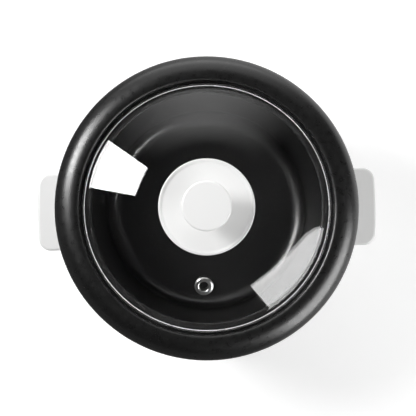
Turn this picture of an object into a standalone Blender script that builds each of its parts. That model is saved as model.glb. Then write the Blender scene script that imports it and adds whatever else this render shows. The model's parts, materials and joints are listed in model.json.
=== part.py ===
"""Round slow cooker with a stoneware crock, a domed glass lid and a turning heat control.

The cooker stands on its rubber feet at height 0 with its centre line on the Z axis. The control
faces -Y, the mains cord would enter at +Y and the carrying handles are at -X and +X.
Lengths are in metres.
"""

import math

import bmesh
import bpy
from mathutils import Matrix

# General fits
GAP = 0.0003  # left between two pieces that touch
STEPS = 36  # flats round every piece that shares the centre line
SMALL_STEPS = 12  # flats round feet, screws and other small round pieces

# Driving sizes
RIM_RADIUS = 0.130
RIM_TOP = 0.162
CROCK_DEPTH = 0.110  # from the rim's top to the inner floor
HANDLE_REACH = 0.022  # how far each handle sticks out past the rim
HANDLE_WIDTH = 0.0695
FOOT_HEIGHT = 0.0102
LID_SPHERE = 0.229  # radius of the lid's outer surface
KNOB_RISE = 0.034  # from the skirt's dish to the knob's top

# Crock
RIM_CROWN = 0.0195  # from the rim's highest circle out to its widest
RIM_ROLL = 0.0160  # how far the crown rolls down over that, as a quarter of an ellipse
RIM_BOTTOM = RIM_TOP - 0.0192
RIM_EDGE_ROUND = 0.0030
STEP_RADIUS = RIM_RADIUS - 0.0222  # wall of the recess that holds the lid
LEDGE_HEIGHT = RIM_TOP - 0.0087  # the lid rests here
CROCK_MOUTH_RADIUS = STEP_RADIUS - 0.0111
CROCK_FLOOR_RADIUS = CROCK_MOUTH_RADIUS - 0.0055
CROCK_FLOOR = RIM_TOP - CROCK_DEPTH
CROCK_FLOOR_FILLET = 0.014
CROCK_WALL = 0.0065
CROCK_OUTER_TOP_RADIUS = CROCK_MOUTH_RADIUS + 0.0073
CROCK_OUTER_LOW_RADIUS = CROCK_FLOOR_RADIUS + CROCK_WALL
CROCK_OUTER_LOW = CROCK_FLOOR + 0.010
CROCK_FOOT_RING_RADIUS = CROCK_FLOOR_RADIUS - 0.022
CROCK_FOOT_RING_DEPTH = 0.0015

# Liner that the crock stands in
LINER_SIDE_CLEARANCE = 0.0022
LINER_FLOOR_CLEARANCE = 0.0015
LINER_THICKNESS = 0.0012
LINER_FILLET = 0.016
LINER_FLANGE_RADIUS = RIM_RADIUS - 0.0115

# Housing
SHELL_BOTTOM = FOOT_HEIGHT + 0.0018
SHELL_FOOT = SHELL_BOTTOM + 0.0025
SHELL_SHOULDER = RIM_BOTTOM - 0.0088
SHELL_TOP_RADIUS = RIM_RADIUS - 0.0116
SHELL_FOOT_RADIUS = SHELL_TOP_RADIUS - 0.0064
SHELL_THICKNESS = 0.0012
SHELL_LIP_RADIUS = SHELL_TOP_RADIUS - 0.0064  # inner edge of the top lip
SHELL_BOTTOM_LIP_RADIUS = SHELL_FOOT_RADIUS - 0.011

# Base plate, feet and tie
PLATE_RADIUS = SHELL_FOOT_RADIUS - 0.0055
PLATE_THICKNESS = 0.0012
POCKET_RADIUS = 0.013
POCKET_RISE = 0.0053
VENT_SLOT_LENGTH = 0.022
VENT_SLOT_WIDTH = 0.004
VENT_SLOTS = 6
VENT_SLOT_CIRCLE = 0.045
FOOT_RADIUS = 0.009
FOOT_NECK_RADIUS = 0.0032
FOOT_BARB_RADIUS = 0.0046
FOOT_CIRCLE = PLATE_RADIUS - 0.0216  # radius on which the four feet stand
TIE_RADIUS = 0.003
TIE_FLANGE_RADIUS = 0.009
TIE_NUT_ACROSS = 0.010
HOLE_CLEARANCE = 0.0004  # round a screw or a bush

# Heater
HEATER_LOW = CROCK_FLOOR + 0.014
HEATER_HEIGHT = 0.040
HEATER_THICKNESS = 0.0024
HEATER_TAB_DROP = 0.006
HEATER_TAB_WIDTH = 0.005
HEATER_TAB_ANGLES = (-115.0, -65.0, 125.0)
STRAP_LOW = HEATER_LOW + 0.012
STRAP_HEIGHT = 0.016
STRAP_THICKNESS = 0.0008
STRAP_SPLIT = 0.0046  # from the split's middle to each end
STRAP_EAR = 0.0068
STRAP_SCREW_RADIUS = 0.0015

# Handles
HANDLE_TOP = 0.095
HANDLE_HEIGHT = 0.025
HANDLE_CORNER = 0.010
HANDLE_BOW = 0.0015
HANDLE_EDGE = 0.0022
HANDLE_WALL = 0.0035
HANDLE_BACK = SHELL_TOP_RADIUS + 0.0041  # where the finger recess starts
HANDLE_SCREW_HEIGHT = HANDLE_TOP - 0.011
HANDLE_SCREW_ANGLE = 15.0
HANDLE_SCREW_RADIUS = 0.0019
HANDLE_SCREW_REACH = 0.0065  # into the handle

# Control
CONTROL_HEIGHT = SHELL_BOTTOM + 0.020
PANEL_WIDTH = 0.066
PANEL_LOW = SHELL_BOTTOM + 0.0035
PANEL_HIGH = CONTROL_HEIGHT + 0.028
PANEL_CORNER = 0.008
PANEL_THICKNESS = 0.003
SWITCH_WIDTH = 0.026
SWITCH_HEIGHT = 0.020
SWITCH_DEPTH = 0.0175
BUSH_RADIUS = 0.0047
SHAFT_RADIUS = 0.003
DIAL_RADIUS = 0.016
DIAL_DEPTH = 0.0108  # with its grip
DIAL_GRIP_WIDTH = 0.007
DIAL_GRIP_HEIGHT = 0.0035
DIAL_REST_TURN = 67.5  # degrees left of the top

# Mains entry and wiring
GLAND_HEIGHT = SHELL_BOTTOM + 0.016
GLAND_RADIUS = 0.006
GLAND_BORE = 0.0037
GLAND_FLANGE_RADIUS = 0.0095
BLOCK_PLACE = SHELL_FOOT_RADIUS - 0.038
BLOCK_WIDTH = 0.028
BLOCK_DEPTH = 0.016
BLOCK_HEIGHT = 0.013
FUSE_PLACE = 0.034
FUSE_RADIUS = 0.0022
FUSE_LENGTH = 0.014
LEAD_RADIUS = 0.0012
SMALL_SCREW_RADIUS = 0.0015

# Lid
LID_RADIUS = STEP_RADIUS - 0.0025
LID_FLANGE_RADIUS = LID_RADIUS - 0.0043  # where the dome meets the flat rim
LID_THICKNESS = 0.004
LID_HOLE_RADIUS = 0.0036
SKIRT_RADIUS = 0.0399
SKIRT_RISE = 0.0046  # of the dish's floor over the top of the glass
SKIRT_LIP = 0.0016
KNOB_RADIUS = 0.0203
KNOB_NECK_RADIUS = 0.0115
LID_SCREW_RADIUS = 0.002
VENT_PLACE = 0.0655  # from the lid's axis
VENT_ANGLE = -93.0
VENT_FLANGE_RADIUS = 0.0078
VENT_TUBE_RADIUS = 0.0046
VENT_BORE_RADIUS = 0.0034
VENT_MOUTH_RADIUS = 0.0042

FINISHES = {
    "white_paint": ((0.86, 0.86, 0.85), 0.25, 0.0),
    "white_plastic": ((0.88, 0.88, 0.87), 0.30, 0.0),
    "black_glaze": ((0.012, 0.012, 0.012), 0.32, 0.0),
    "clear_glass": ((0.85, 0.90, 0.90), 0.03, 0.0),
    "steel": ((0.60, 0.60, 0.59), 0.30, 1.0),
    "aluminium": ((0.72, 0.72, 0.72), 0.40, 1.0),
    "brass": ((0.75, 0.58, 0.28), 0.30, 1.0),
    "rubber": ((0.03, 0.03, 0.03), 0.80, 0.0),
    "silicone": ((0.80, 0.80, 0.78), 0.60, 0.0),
    "mica": ((0.62, 0.56, 0.44), 0.70, 0.0),
    "ceramic": ((0.85, 0.83, 0.78), 0.50, 0.0),
    "black_plastic": ((0.02, 0.02, 0.02), 0.40, 0.0),
    "brown_wire": ((0.20, 0.07, 0.02), 0.50, 0.0),
    "blue_wire": ((0.02, 0.10, 0.45), 0.50, 0.0),
    "green_wire": ((0.05, 0.35, 0.06), 0.50, 0.0),
}


# Shared helpers


def clear_scene():
    for old in list(bpy.data.objects):
        bpy.data.objects.remove(old, do_unlink=True)


def material(name):
    """The Principled material called name, made once."""
    found = bpy.data.materials.get(name)
    if found:
        return found
    colour, roughness, metallic = FINISHES[name]
    made = bpy.data.materials.new(name)
    made.use_nodes = True
    shader = made.node_tree.nodes["Principled BSDF"]
    shader.inputs["Base Color"].default_value = (*colour, 1.0)
    shader.inputs["Roughness"].default_value = roughness
    shader.inputs["Metallic"].default_value = metallic
    if name == "clear_glass":
        shader.inputs["Transmission Weight"].default_value = 1.0
    return made


def piece(name, mesh, finish):
    """An object that shows mesh in the given finish, with its curved faces shaded smooth."""
    if not mesh.materials:
        mesh.materials.append(material(finish))
    mesh.shade_smooth()
    mesh.set_sharp_from_angle(angle=math.radians(32))
    made = bpy.data.objects.new(name, mesh)
    bpy.context.scene.collection.objects.link(made)
    return made


def mesh_of(name, shape):
    bmesh.ops.recalc_face_normals(shape, faces=shape.faces)
    mesh = bpy.data.meshes.new(name)
    shape.to_mesh(mesh)
    shape.free()
    return mesh


def flat_factor(angle):
    """How far in a STEPS-sided ring lies at this angle, compared with its corners."""
    step = 2 * math.pi / STEPS
    return math.cos(step / 2) / math.cos(angle % step - step / 2)


def arc(centre, height, radius, start, end, parts):
    """(radius, height) points on a circle, from start to end in degrees, both ends included."""
    points = []
    for k in range(parts + 1):
        angle = math.radians(start + (end - start) * k / parts)
        points.append((centre + radius * math.cos(angle), height + radius * math.sin(angle)))
    return points


def turned(name, profile, steps=STEPS):
    """The mesh of a closed (radius, height) profile turned round Z. A radius of 0 is a pole."""
    shape = bmesh.new()
    poles = {i: shape.verts.new((0, 0, z)) for i, (r, z) in enumerate(profile) if r < 1e-7}
    rings = []
    for k in range(steps):
        angle = 2 * math.pi * k / steps
        ring = []
        for i, (r, z) in enumerate(profile):
            corner = (r * math.cos(angle), r * math.sin(angle), z)
            ring.append(poles[i] if i in poles else shape.verts.new(corner))
        rings.append(ring)
    count = len(profile)
    for k in range(steps):
        near = rings[k]
        far = rings[(k + 1) % steps]
        for i in range(count):
            j = (i + 1) % count
            corners = list(dict.fromkeys((near[i], near[j], far[j], far[i])))
            if len(corners) > 2:
                shape.faces.new(corners)
    return mesh_of(name, shape)


def sector(name, profile, start, end):
    """A closed profile swept from start to end in degrees on the STEPS-sided ring, with flat ends."""
    step = 360 / STEPS
    first = math.floor(start / step + 1e-6) + 1
    last = math.ceil(end / step - 1e-6) - 1
    angles = [start] + [k * step for k in range(first, last + 1)] + [end]
    shape = bmesh.new()
    rings = []
    for degrees in angles:
        angle = math.radians(degrees)
        out = flat_factor(angle)
        ring = []
        for r, z in profile:
            ring.append(shape.verts.new((r * out * math.cos(angle), r * out * math.sin(angle), z)))
        rings.append(ring)
    count = len(profile)
    for near, far in zip(rings, rings[1:]):
        for i in range(count):
            j = (i + 1) % count
            shape.faces.new((near[i], near[j], far[j], far[i]))
    shape.faces.new(rings[0])
    shape.faces.new(list(reversed(rings[-1])))
    return mesh_of(name, shape)


def stacked(name, outlines):
    """A body whose outline at each level is the given list of (x, y, z) corners, capped at both ends."""
    shape = bmesh.new()
    rings = [[shape.verts.new(corner) for corner in outline] for outline in outlines]
    count = len(rings[0])
    for low, high in zip(rings, rings[1:]):
        for i in range(count):
            j = (i + 1) % count
            shape.faces.new((low[i], low[j], high[j], high[i]))
    shape.faces.new(list(reversed(rings[0])))
    shape.faces.new(rings[-1])
    return mesh_of(name, shape)


def rounded_outline(left, right, low, high, corner, parts=3):
    """(x, y) points round a rectangle with rounded corners."""
    points = []
    corners = (
        (right - corner, high - corner, 0),
        (left + corner, high - corner, 90),
        (left + corner, low + corner, 180),
        (right - corner, low + corner, 270),
    )
    for x, y, start in corners:
        points += arc(x, y, corner, start, start + 90, parts)
    return points


def block_mesh(name, low, high):
    """A box between two opposite corners."""
    shape = bmesh.new()
    bmesh.ops.create_cube(shape, size=1.0)
    size = [b - a for a, b in zip(low, high)]
    middle = [(a + b) / 2 for a, b in zip(low, high)]
    bmesh.ops.transform(
        shape,
        matrix=Matrix.Translation(middle) @ Matrix.Diagonal((*size, 1.0)),
        verts=shape.verts,
    )
    return mesh_of(name, shape)


def rod_profile(radius, low, high):
    return [(0, high), (radius, high), (radius, low), (0, low)]


def washer_profile(bore, radius, low, high):
    return [(bore, high), (radius, high), (radius, low), (bore, low)]


def towards(angle_degrees):
    """Turns a shape made along +Z so that it lies along the horizontal direction at this angle."""
    return Matrix.Rotation(math.radians(angle_degrees), 4, "Z") @ Matrix.Rotation(math.pi / 2, 4, "Y")


def rod(name, radius, low, high, turn=None, place=(0, 0, 0), steps=SMALL_STEPS):
    """A round bar along Z from low to high, then turned and placed."""
    mesh = turned(name, rod_profile(radius, low, high), steps)
    mesh.transform(Matrix.Translation(place) @ (turn or Matrix.Identity(4)))
    return mesh


def combined(target, meshes, operation="DIFFERENCE", solver="EXACT"):
    """Cuts each mesh from the target object, or joins it on, and keeps the result as its mesh."""
    helpers = []
    for index, mesh in enumerate(meshes):
        helper = bpy.data.objects.new(f"helper_{index}", mesh)
        bpy.context.scene.collection.objects.link(helper)
        helper.hide_render = True
        helper.display_type = "WIRE"
        step = target.modifiers.new(f"step_{index}", "BOOLEAN")
        step.operation = operation
        step.solver = solver
        step.object = helper
        helpers.append(helper)
    bpy.context.view_layer.update()
    graph = bpy.context.evaluated_depsgraph_get()
    result = bpy.data.meshes.new_from_object(target.evaluated_get(graph))
    result.name = target.name
    target.modifiers.clear()
    target.data = result
    result.shade_smooth()
    result.set_sharp_from_angle(angle=math.radians(32))
    for helper in helpers:
        bpy.data.objects.remove(helper, do_unlink=True)
    return target


# Radii that several pieces share


def shell_radius(height):
    share = (height - SHELL_FOOT) / (SHELL_SHOULDER - SHELL_FOOT)
    return SHELL_FOOT_RADIUS + (SHELL_TOP_RADIUS - SHELL_FOOT_RADIUS) * share


def crock_outer_radius(height):
    share = (height - CROCK_OUTER_LOW) / (RIM_BOTTOM - CROCK_OUTER_LOW)
    return CROCK_OUTER_LOW_RADIUS + (CROCK_OUTER_TOP_RADIUS - CROCK_OUTER_LOW_RADIUS) * share


def liner_outer_radius(height):
    return crock_outer_radius(height) + LINER_SIDE_CLEARANCE + LINER_THICKNESS


def liner_bottom():
    return CROCK_FLOOR - CROCK_WALL - LINER_FLOOR_CLEARANCE - LINER_THICKNESS


def heater_high():
    return HEATER_LOW + HEATER_HEIGHT


def strap_high():
    return STRAP_LOW + STRAP_HEIGHT


def handle_end():
    """Distance of a handle's outer edge from the centre line."""
    return RIM_RADIUS + HANDLE_REACH


def dial_back():
    """Distance of the dial's back from the centre line, clear of the panel behind its upper edge."""
    return shell_radius(CONTROL_HEIGHT + DIAL_RADIUS) + GAP + PANEL_THICKNESS + 0.0011


def dial_front():
    return dial_back() + DIAL_DEPTH


def fuse_height():
    return liner_bottom() - 0.0038


def skirt_floor():
    return dome_height(0.0) + SKIRT_RISE


def plate_top():
    return SHELL_BOTTOM - GAP


def dome_height(radius, drop=0.0):
    """Height of the lid's outer surface, or of a surface drop below it, at this radius."""
    rim = LEDGE_HEIGHT + GAP + LID_THICKNESS
    centre = rim - math.sqrt(LID_SPHERE**2 - LID_FLANGE_RADIUS**2)
    return centre + math.sqrt((LID_SPHERE - drop) ** 2 - radius**2)


# Crock


def crock():
    floor_corner = CROCK_FLOOR_RADIUS - CROCK_FLOOR_FILLET
    outer_bottom = CROCK_FLOOR - CROCK_WALL
    outer_fillet = CROCK_OUTER_LOW - outer_bottom
    rim_low = RIM_BOTTOM + RIM_EDGE_ROUND
    profile = [(0, CROCK_FLOOR)]
    profile += arc(
        floor_corner, CROCK_FLOOR + CROCK_FLOOR_FILLET, CROCK_FLOOR_FILLET, -90, 0, 4
    )
    profile += [(CROCK_MOUTH_RADIUS, LEDGE_HEIGHT - 0.004)]
    profile += [(CROCK_MOUTH_RADIUS + 0.001, LEDGE_HEIGHT - 0.001)]
    profile += [(CROCK_MOUTH_RADIUS + 0.003, LEDGE_HEIGHT), (STEP_RADIUS, LEDGE_HEIGHT)]
    profile += [(STEP_RADIUS, RIM_TOP - 0.0024), (STEP_RADIUS + 0.0008, RIM_TOP - 0.0007)]
    crown = arc(0, 0, 1, 90, 0, 7)
    profile += [
        (RIM_RADIUS - RIM_CROWN * (1 - across), RIM_TOP - RIM_ROLL * (1 - up)) for across, up in crown
    ]
    profile += arc(RIM_RADIUS - RIM_EDGE_ROUND, rim_low, RIM_EDGE_ROUND, 0, -90, 2)
    profile += [(CROCK_OUTER_TOP_RADIUS + 0.0018, RIM_BOTTOM)]
    profile += [(CROCK_OUTER_TOP_RADIUS - 0.0003, RIM_BOTTOM - 0.003)]
    profile += arc(
        CROCK_OUTER_LOW_RADIUS - outer_fillet, CROCK_OUTER_LOW, outer_fillet, 0, -90, 3
    )
    ring = CROCK_FOOT_RING_RADIUS
    profile += [(ring, outer_bottom), (ring - 0.002, outer_bottom + CROCK_FOOT_RING_DEPTH)]
    profile += [(0, outer_bottom + CROCK_FOOT_RING_DEPTH)]
    return piece("crock", turned("crock", profile), "black_glaze")


# Base


def heating_liner():
    bottom = liner_bottom()
    bend = bottom + LINER_FILLET
    radius = liner_outer_radius(bend)
    flange = RIM_BOTTOM - GAP
    under = flange - LINER_THICKNESS
    inner_round = LINER_FILLET - LINER_THICKNESS
    wall_top = liner_outer_radius(under)
    profile = [(0, bottom + LINER_THICKNESS)]
    profile += arc(radius - LINER_FILLET, bend, inner_round, -90, 0, 3)
    profile += [(wall_top - LINER_THICKNESS, flange), (LINER_FLANGE_RADIUS, flange)]
    profile += [(LINER_FLANGE_RADIUS, under), (wall_top, under)]
    profile += arc(radius - LINER_FILLET, bend, LINER_FILLET, 0, -90, 3)
    profile += [(0, bottom)]
    return piece("heating_liner", turned("heating_liner", profile), "aluminium")


def housing_shell():
    wall = SHELL_THICKNESS
    lip = RIM_BOTTOM - GAP - LINER_THICKNESS - GAP
    top = SHELL_TOP_RADIUS
    profile = [(SHELL_FOOT_RADIUS, SHELL_FOOT), (top, SHELL_SHOULDER)]
    profile += [(top - 0.0012, SHELL_SHOULDER + 0.0042), (top - 0.0040, lip)]
    profile += [(SHELL_LIP_RADIUS, lip), (SHELL_LIP_RADIUS, lip - wall)]
    profile += [(top - 0.0044, lip - wall), (top - wall, SHELL_SHOULDER)]
    profile += [(SHELL_FOOT_RADIUS - wall, SHELL_FOOT + 0.0003)]
    profile += [(SHELL_FOOT_RADIUS - 0.0030, SHELL_BOTTOM + wall)]
    profile += [(SHELL_BOTTOM_LIP_RADIUS, SHELL_BOTTOM + wall)]
    profile += [(SHELL_BOTTOM_LIP_RADIUS, SHELL_BOTTOM), (SHELL_FOOT_RADIUS - 0.0025, SHELL_BOTTOM)]
    shell = piece("housing_shell", turned("housing_shell", profile), "white_paint")
    near = SHELL_FOOT_RADIUS - 0.010
    far = SHELL_TOP_RADIUS + 0.005
    holes = []
    for side in (0, 180):
        for sign in (-1, 1):
            hole = HANDLE_SCREW_RADIUS + HOLE_CLEARANCE
            angle = side + sign * HANDLE_SCREW_ANGLE
            holes.append(
                rod("hole", hole, near, far, towards(angle), (0, 0, HANDLE_SCREW_HEIGHT), 10)
            )
    hole = BUSH_RADIUS + HOLE_CLEARANCE
    holes.append(rod("hole", hole, near, far, towards(-90), (0, 0, CONTROL_HEIGHT), 16))
    hole = GLAND_RADIUS + HOLE_CLEARANCE
    holes.append(rod("hole", hole, near, far, towards(90), (0, 0, GLAND_HEIGHT), 16))
    return combined(shell, holes)


def base_plate():
    top = plate_top()
    low = top - PLATE_THICKNESS
    hole = TIE_RADIUS + HOLE_CLEARANCE
    roof = top + POCKET_RISE
    profile = [(hole, roof), (POCKET_RADIUS, roof), (POCKET_RADIUS + 0.004, top)]
    profile += [(PLATE_RADIUS, top), (PLATE_RADIUS, low), (POCKET_RADIUS + 0.0032, low)]
    profile += [(POCKET_RADIUS - 0.0006, roof - PLATE_THICKNESS), (hole, roof - PLATE_THICKNESS)]
    plate = piece("base_plate", turned("base_plate", profile), "steel")
    cuts = []
    for x, y in foot_places():
        hole = FOOT_NECK_RADIUS + HOLE_CLEARANCE
        cuts.append(rod("hole", hole, low - 0.005, top + 0.005, None, (x, y, 0), SMALL_STEPS))
    for x, y in (earth_place(), (0, BLOCK_PLACE)):
        hole = SMALL_SCREW_RADIUS + HOLE_CLEARANCE
        cuts.append(rod("hole", hole, low - 0.005, top + 0.005, None, (x, y, 0), 8))
    for k in range(VENT_SLOTS):
        angle = math.radians(30 + 360 * k / VENT_SLOTS)
        slot = block_mesh(
            "slot",
            (-VENT_SLOT_LENGTH / 2, -VENT_SLOT_WIDTH / 2, low - 0.002),
            (VENT_SLOT_LENGTH / 2, VENT_SLOT_WIDTH / 2, top + 0.002),
        )
        spin = Matrix.Rotation(angle, 4, "Z")
        slot.transform(spin @ Matrix.Translation((VENT_SLOT_CIRCLE, 0, 0)))
        cuts.append(slot)
    return combined(plate, cuts, solver="MANIFOLD")


def foot_places():
    reach = FOOT_CIRCLE / math.sqrt(2)
    return ((reach, reach), (-reach, reach), (-reach, -reach), (reach, -reach))


def feet():
    top = plate_top()
    neck = FOOT_NECK_RADIUS
    profile = [(0, top + 0.0035), (neck - 0.001, top + 0.0035), (FOOT_BARB_RADIUS, top + 0.001)]
    profile += [(FOOT_BARB_RADIUS, top + GAP), (neck, top + GAP), (neck, FOOT_HEIGHT)]
    profile += [(FOOT_RADIUS, FOOT_HEIGHT), (FOOT_RADIUS - 0.001, 0), (0, 0)]
    mesh = turned("foot", profile, SMALL_STEPS)
    for number, (x, y) in enumerate(foot_places(), 1):
        piece(f"foot_{number}", mesh, "rubber").location = (x, y, 0)


def tie_parts():
    top = liner_bottom() - GAP
    low = SHELL_BOTTOM - GAP - PLATE_THICKNESS + 0.0004
    profile = [(0, top), (TIE_FLANGE_RADIUS, top), (TIE_FLANGE_RADIUS, top - 0.0012)]
    profile += [(TIE_RADIUS, top - 0.0012), (TIE_RADIUS, low), (0, low)]
    piece("tie_stud", turned("tie_stud", profile, 16), "steel")
    bore = TIE_RADIUS + GAP
    under = plate_top() + POCKET_RISE - PLATE_THICKNESS - GAP
    washer = washer_profile(bore, 0.0075, under - 0.001, under)
    piece("tie_washer", turned("tie_washer", washer, 16), "steel")
    seat = under - 0.001 - GAP
    piece("tie_nut", nut("tie_nut", TIE_NUT_ACROSS, bore, seat - 0.0028, seat), "steel")


def nut(name, across, bore, low, high):
    """A hexagon with a round bore along Z. The bore's corners line up with the hexagon's."""
    shape = bmesh.new()
    rings = []
    for k in range(12):
        angle = 2 * math.pi * k / 12
        corner = across / 2 / math.cos((angle + math.pi / 6) % (math.pi / 3) - math.pi / 6)
        ring = []
        for r, z in ((bore, low), (corner, low), (corner, high), (bore, high)):
            ring.append(shape.verts.new((r * math.cos(angle), r * math.sin(angle), z)))
        rings.append(ring)
    for k in range(12):
        near = rings[k]
        far = rings[(k + 1) % 12]
        for i in range(4):
            j = (i + 1) % 4
            shape.faces.new((near[i], near[j], far[j], far[i]))
    return mesh_of(name, shape)


# Heater


def heater_band():
    inner = [(liner_outer_radius(z) + GAP, z) for z in (HEATER_LOW, heater_high())]
    outer = [(r + HEATER_THICKNESS, z) for r, z in reversed(inner)]
    band = piece("heater_band", turned("heater_band", inner + outer), "mica")
    middle = liner_outer_radius(HEATER_LOW) + GAP + HEATER_THICKNESS / 2
    tabs = []
    for degrees in HEATER_TAB_ANGLES:
        tab = block_mesh(
            "tab",
            (middle - 0.0006, -HEATER_TAB_WIDTH / 2, HEATER_LOW - HEATER_TAB_DROP),
            (middle + 0.0006, HEATER_TAB_WIDTH / 2, HEATER_LOW + 0.001),
        )
        tab.transform(Matrix.Rotation(math.radians(degrees), 4, "Z"))
        tabs.append(tab)
    return combined(band, tabs, "UNION")


def strap_radius(height):
    return liner_outer_radius(height) + GAP + HEATER_THICKNESS + GAP


def band_strap():
    inner = [(strap_radius(z), z) for z in (STRAP_LOW, strap_high())]
    outer = [(r + STRAP_THICKNESS, z) for r, z in reversed(inner)]
    split = math.degrees(STRAP_SPLIT / strap_radius(STRAP_LOW))
    mesh = sector("band_strap", inner + outer, 90 + split, 450 - split)
    strap = piece("band_strap", mesh, "steel")
    ears = []
    holes = []
    for sign in (-1, 1):
        root = strap_radius(strap_high()) + 0.0001
        ear = block_mesh(
            "ear",
            (root, -0.0006, STRAP_LOW + 0.002),
            (strap_radius(STRAP_LOW) + STRAP_EAR, 0.0006, strap_high() - 0.002),
        )
        angle = 90 + sign * (split + math.degrees(0.0006 / strap_radius(STRAP_LOW)))
        ear.transform(Matrix.Rotation(math.radians(angle), 4, "Z"))
        ears.append(ear)
    combined(strap, ears, "UNION")
    hole = STRAP_SCREW_RADIUS + HOLE_CLEARANCE
    holes.append(rod("hole", hole, -0.010, 0.010, towards(0), strap_screw_place(), 8))
    return combined(strap, holes)


def strap_screw_place():
    middle = (STRAP_LOW + strap_high()) / 2
    return (0, strap_radius(middle) + STRAP_THICKNESS + 0.0033, middle)


def strap_fasteners():
    place = Matrix.Translation(strap_screw_place())
    head = 0.0065
    profile = [(0, head + 0.002), (0.0026, head + 0.002), (0.0026, head)]
    profile += [(STRAP_SCREW_RADIUS, head), (STRAP_SCREW_RADIUS, -0.0105), (0, -0.0105)]
    screw = turned("strap_screw", profile, SMALL_STEPS)
    screw.transform(place @ towards(0))
    piece("strap_screw", screw, "steel")
    mesh = nut("strap_nut", 0.0052, STRAP_SCREW_RADIUS + GAP, -0.0088, -0.0065)
    mesh.transform(place @ towards(0))
    piece("strap_nut", mesh, "steel")


# Handles


def handle_outline(inset, height):
    """The handle's outline from above at this height, drawn in by inset, with a bowed outer edge."""
    half = HANDLE_WIDTH / 2
    outer = handle_end() - inset
    points = rounded_outline(SHELL_TOP_RADIUS - 0.0184, outer, -half + inset, half - inset, HANDLE_CORNER - inset, 4)
    middle = (outer, 0.0)
    points.insert(0, middle)
    outline = []
    for x, y in points:
        share = min(1.0, abs(y) / half)
        bow = HANDLE_BOW * share**2 if x > SHELL_TOP_RADIUS else 0.0
        outline.append((x - bow, y, height))
    return outline


def handles():
    low = HANDLE_TOP - HANDLE_HEIGHT
    levels = ((0.0012, low), (0.0, low + 0.0016), (0.0, HANDLE_TOP - HANDLE_EDGE))
    levels += ((HANDLE_EDGE * 0.3, HANDLE_TOP - HANDLE_EDGE * 0.3), (HANDLE_EDGE, HANDLE_TOP))
    mesh = stacked("handle", [handle_outline(inset, z) for inset, z in levels])
    right = piece("handle_right", mesh, "white_plastic")
    reach = handle_end() - HANDLE_WALL - HANDLE_BOW
    half = HANDLE_WIDTH / 2 - HANDLE_WALL
    corner = HANDLE_CORNER - HANDLE_WALL
    outline = rounded_outline(HANDLE_BACK, reach, -half, half, corner, 2)
    roof = HANDLE_TOP - HANDLE_WALL
    recess = stacked(
        "recess", [[(x, y, z) for x, y in outline] for z in (low - 0.005, roof)]
    )
    wall = [(shell_radius(z) + GAP, z) for z in (low - 0.010, HANDLE_TOP + 0.010)]
    profile = [(0, low - 0.010)] + wall + [(0, HANDLE_TOP + 0.010)]
    cuts = [turned("wall", profile), recess]
    for sign in (-1, 1):
        turn = towards(sign * HANDLE_SCREW_ANGLE)
        place = (0, 0, HANDLE_SCREW_HEIGHT)
        start = shell_radius(HANDLE_SCREW_HEIGHT)
        hole = HANDLE_SCREW_RADIUS + HOLE_CLEARANCE
        end = start + HANDLE_SCREW_REACH + 0.001
        cuts.append(rod("hole", hole, start - 0.005, end, turn, place, 10))
    combined(right, cuts)
    left = piece("handle_left", right.data, "white_plastic")
    left.rotation_euler = (0, 0, math.pi)


def handle_screws():
    wall = shell_radius(HANDLE_SCREW_HEIGHT)
    seat = (wall - SHELL_THICKNESS) * flat_factor(math.radians(HANDLE_SCREW_ANGLE)) - 0.0005
    tip = wall + HANDLE_SCREW_REACH
    profile = [(0, tip), (HANDLE_SCREW_RADIUS, tip - 0.001), (HANDLE_SCREW_RADIUS, seat)]
    profile += [(0.0036, seat), (0.0030, seat - 0.002), (0, seat - 0.002)]
    mesh = turned("handle_screw", profile, 10)
    number = 0
    for side in (0, 180):
        for sign in (-1, 1):
            number += 1
            screw = piece(f"handle_screw_{number}", mesh, "steel")
            screw.matrix_world = Matrix.Translation((0, 0, HANDLE_SCREW_HEIGHT)) @ towards(
                side + sign * HANDLE_SCREW_ANGLE
            )


# Control


def control_panel():
    inner = [(shell_radius(z) + GAP, z) for z in (SHELL_FOOT, PANEL_HIGH + 0.010)]
    outer = [(r + PANEL_THICKNESS, z) for r, z in reversed(inner)]
    panel = piece("control_panel", sector("control_panel", inner + outer, -120, -60), "white_plastic")
    half = PANEL_WIDTH / 2
    near = SHELL_FOOT_RADIUS - 0.025
    far = SHELL_TOP_RADIUS + 0.015
    outline = rounded_outline(-half, half, PANEL_LOW, PANEL_HIGH, PANEL_CORNER, 3)
    frame = stacked("frame", [[(x, y, z) for x, z in outline] for y in (-near, -far)])
    combined(panel, [frame], "INTERSECT")
    hole = BUSH_RADIUS + HOLE_CLEARANCE
    cut = rod("hole", hole, near, far, towards(-90), (0, 0, CONTROL_HEIGHT), 16)
    return combined(panel, [cut])


def switch_front():
    """Distance of the switch's mounting face from the centre line."""
    lowest = CONTROL_HEIGHT - SWITCH_HEIGHT / 2
    return shell_radius(lowest) - SHELL_THICKNESS - 0.0016


def panel_face():
    """Distance of the panel's front from the centre line, where the switch's nut presses on it."""
    return shell_radius(CONTROL_HEIGHT) + GAP + PANEL_THICKNESS + 0.0007


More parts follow.
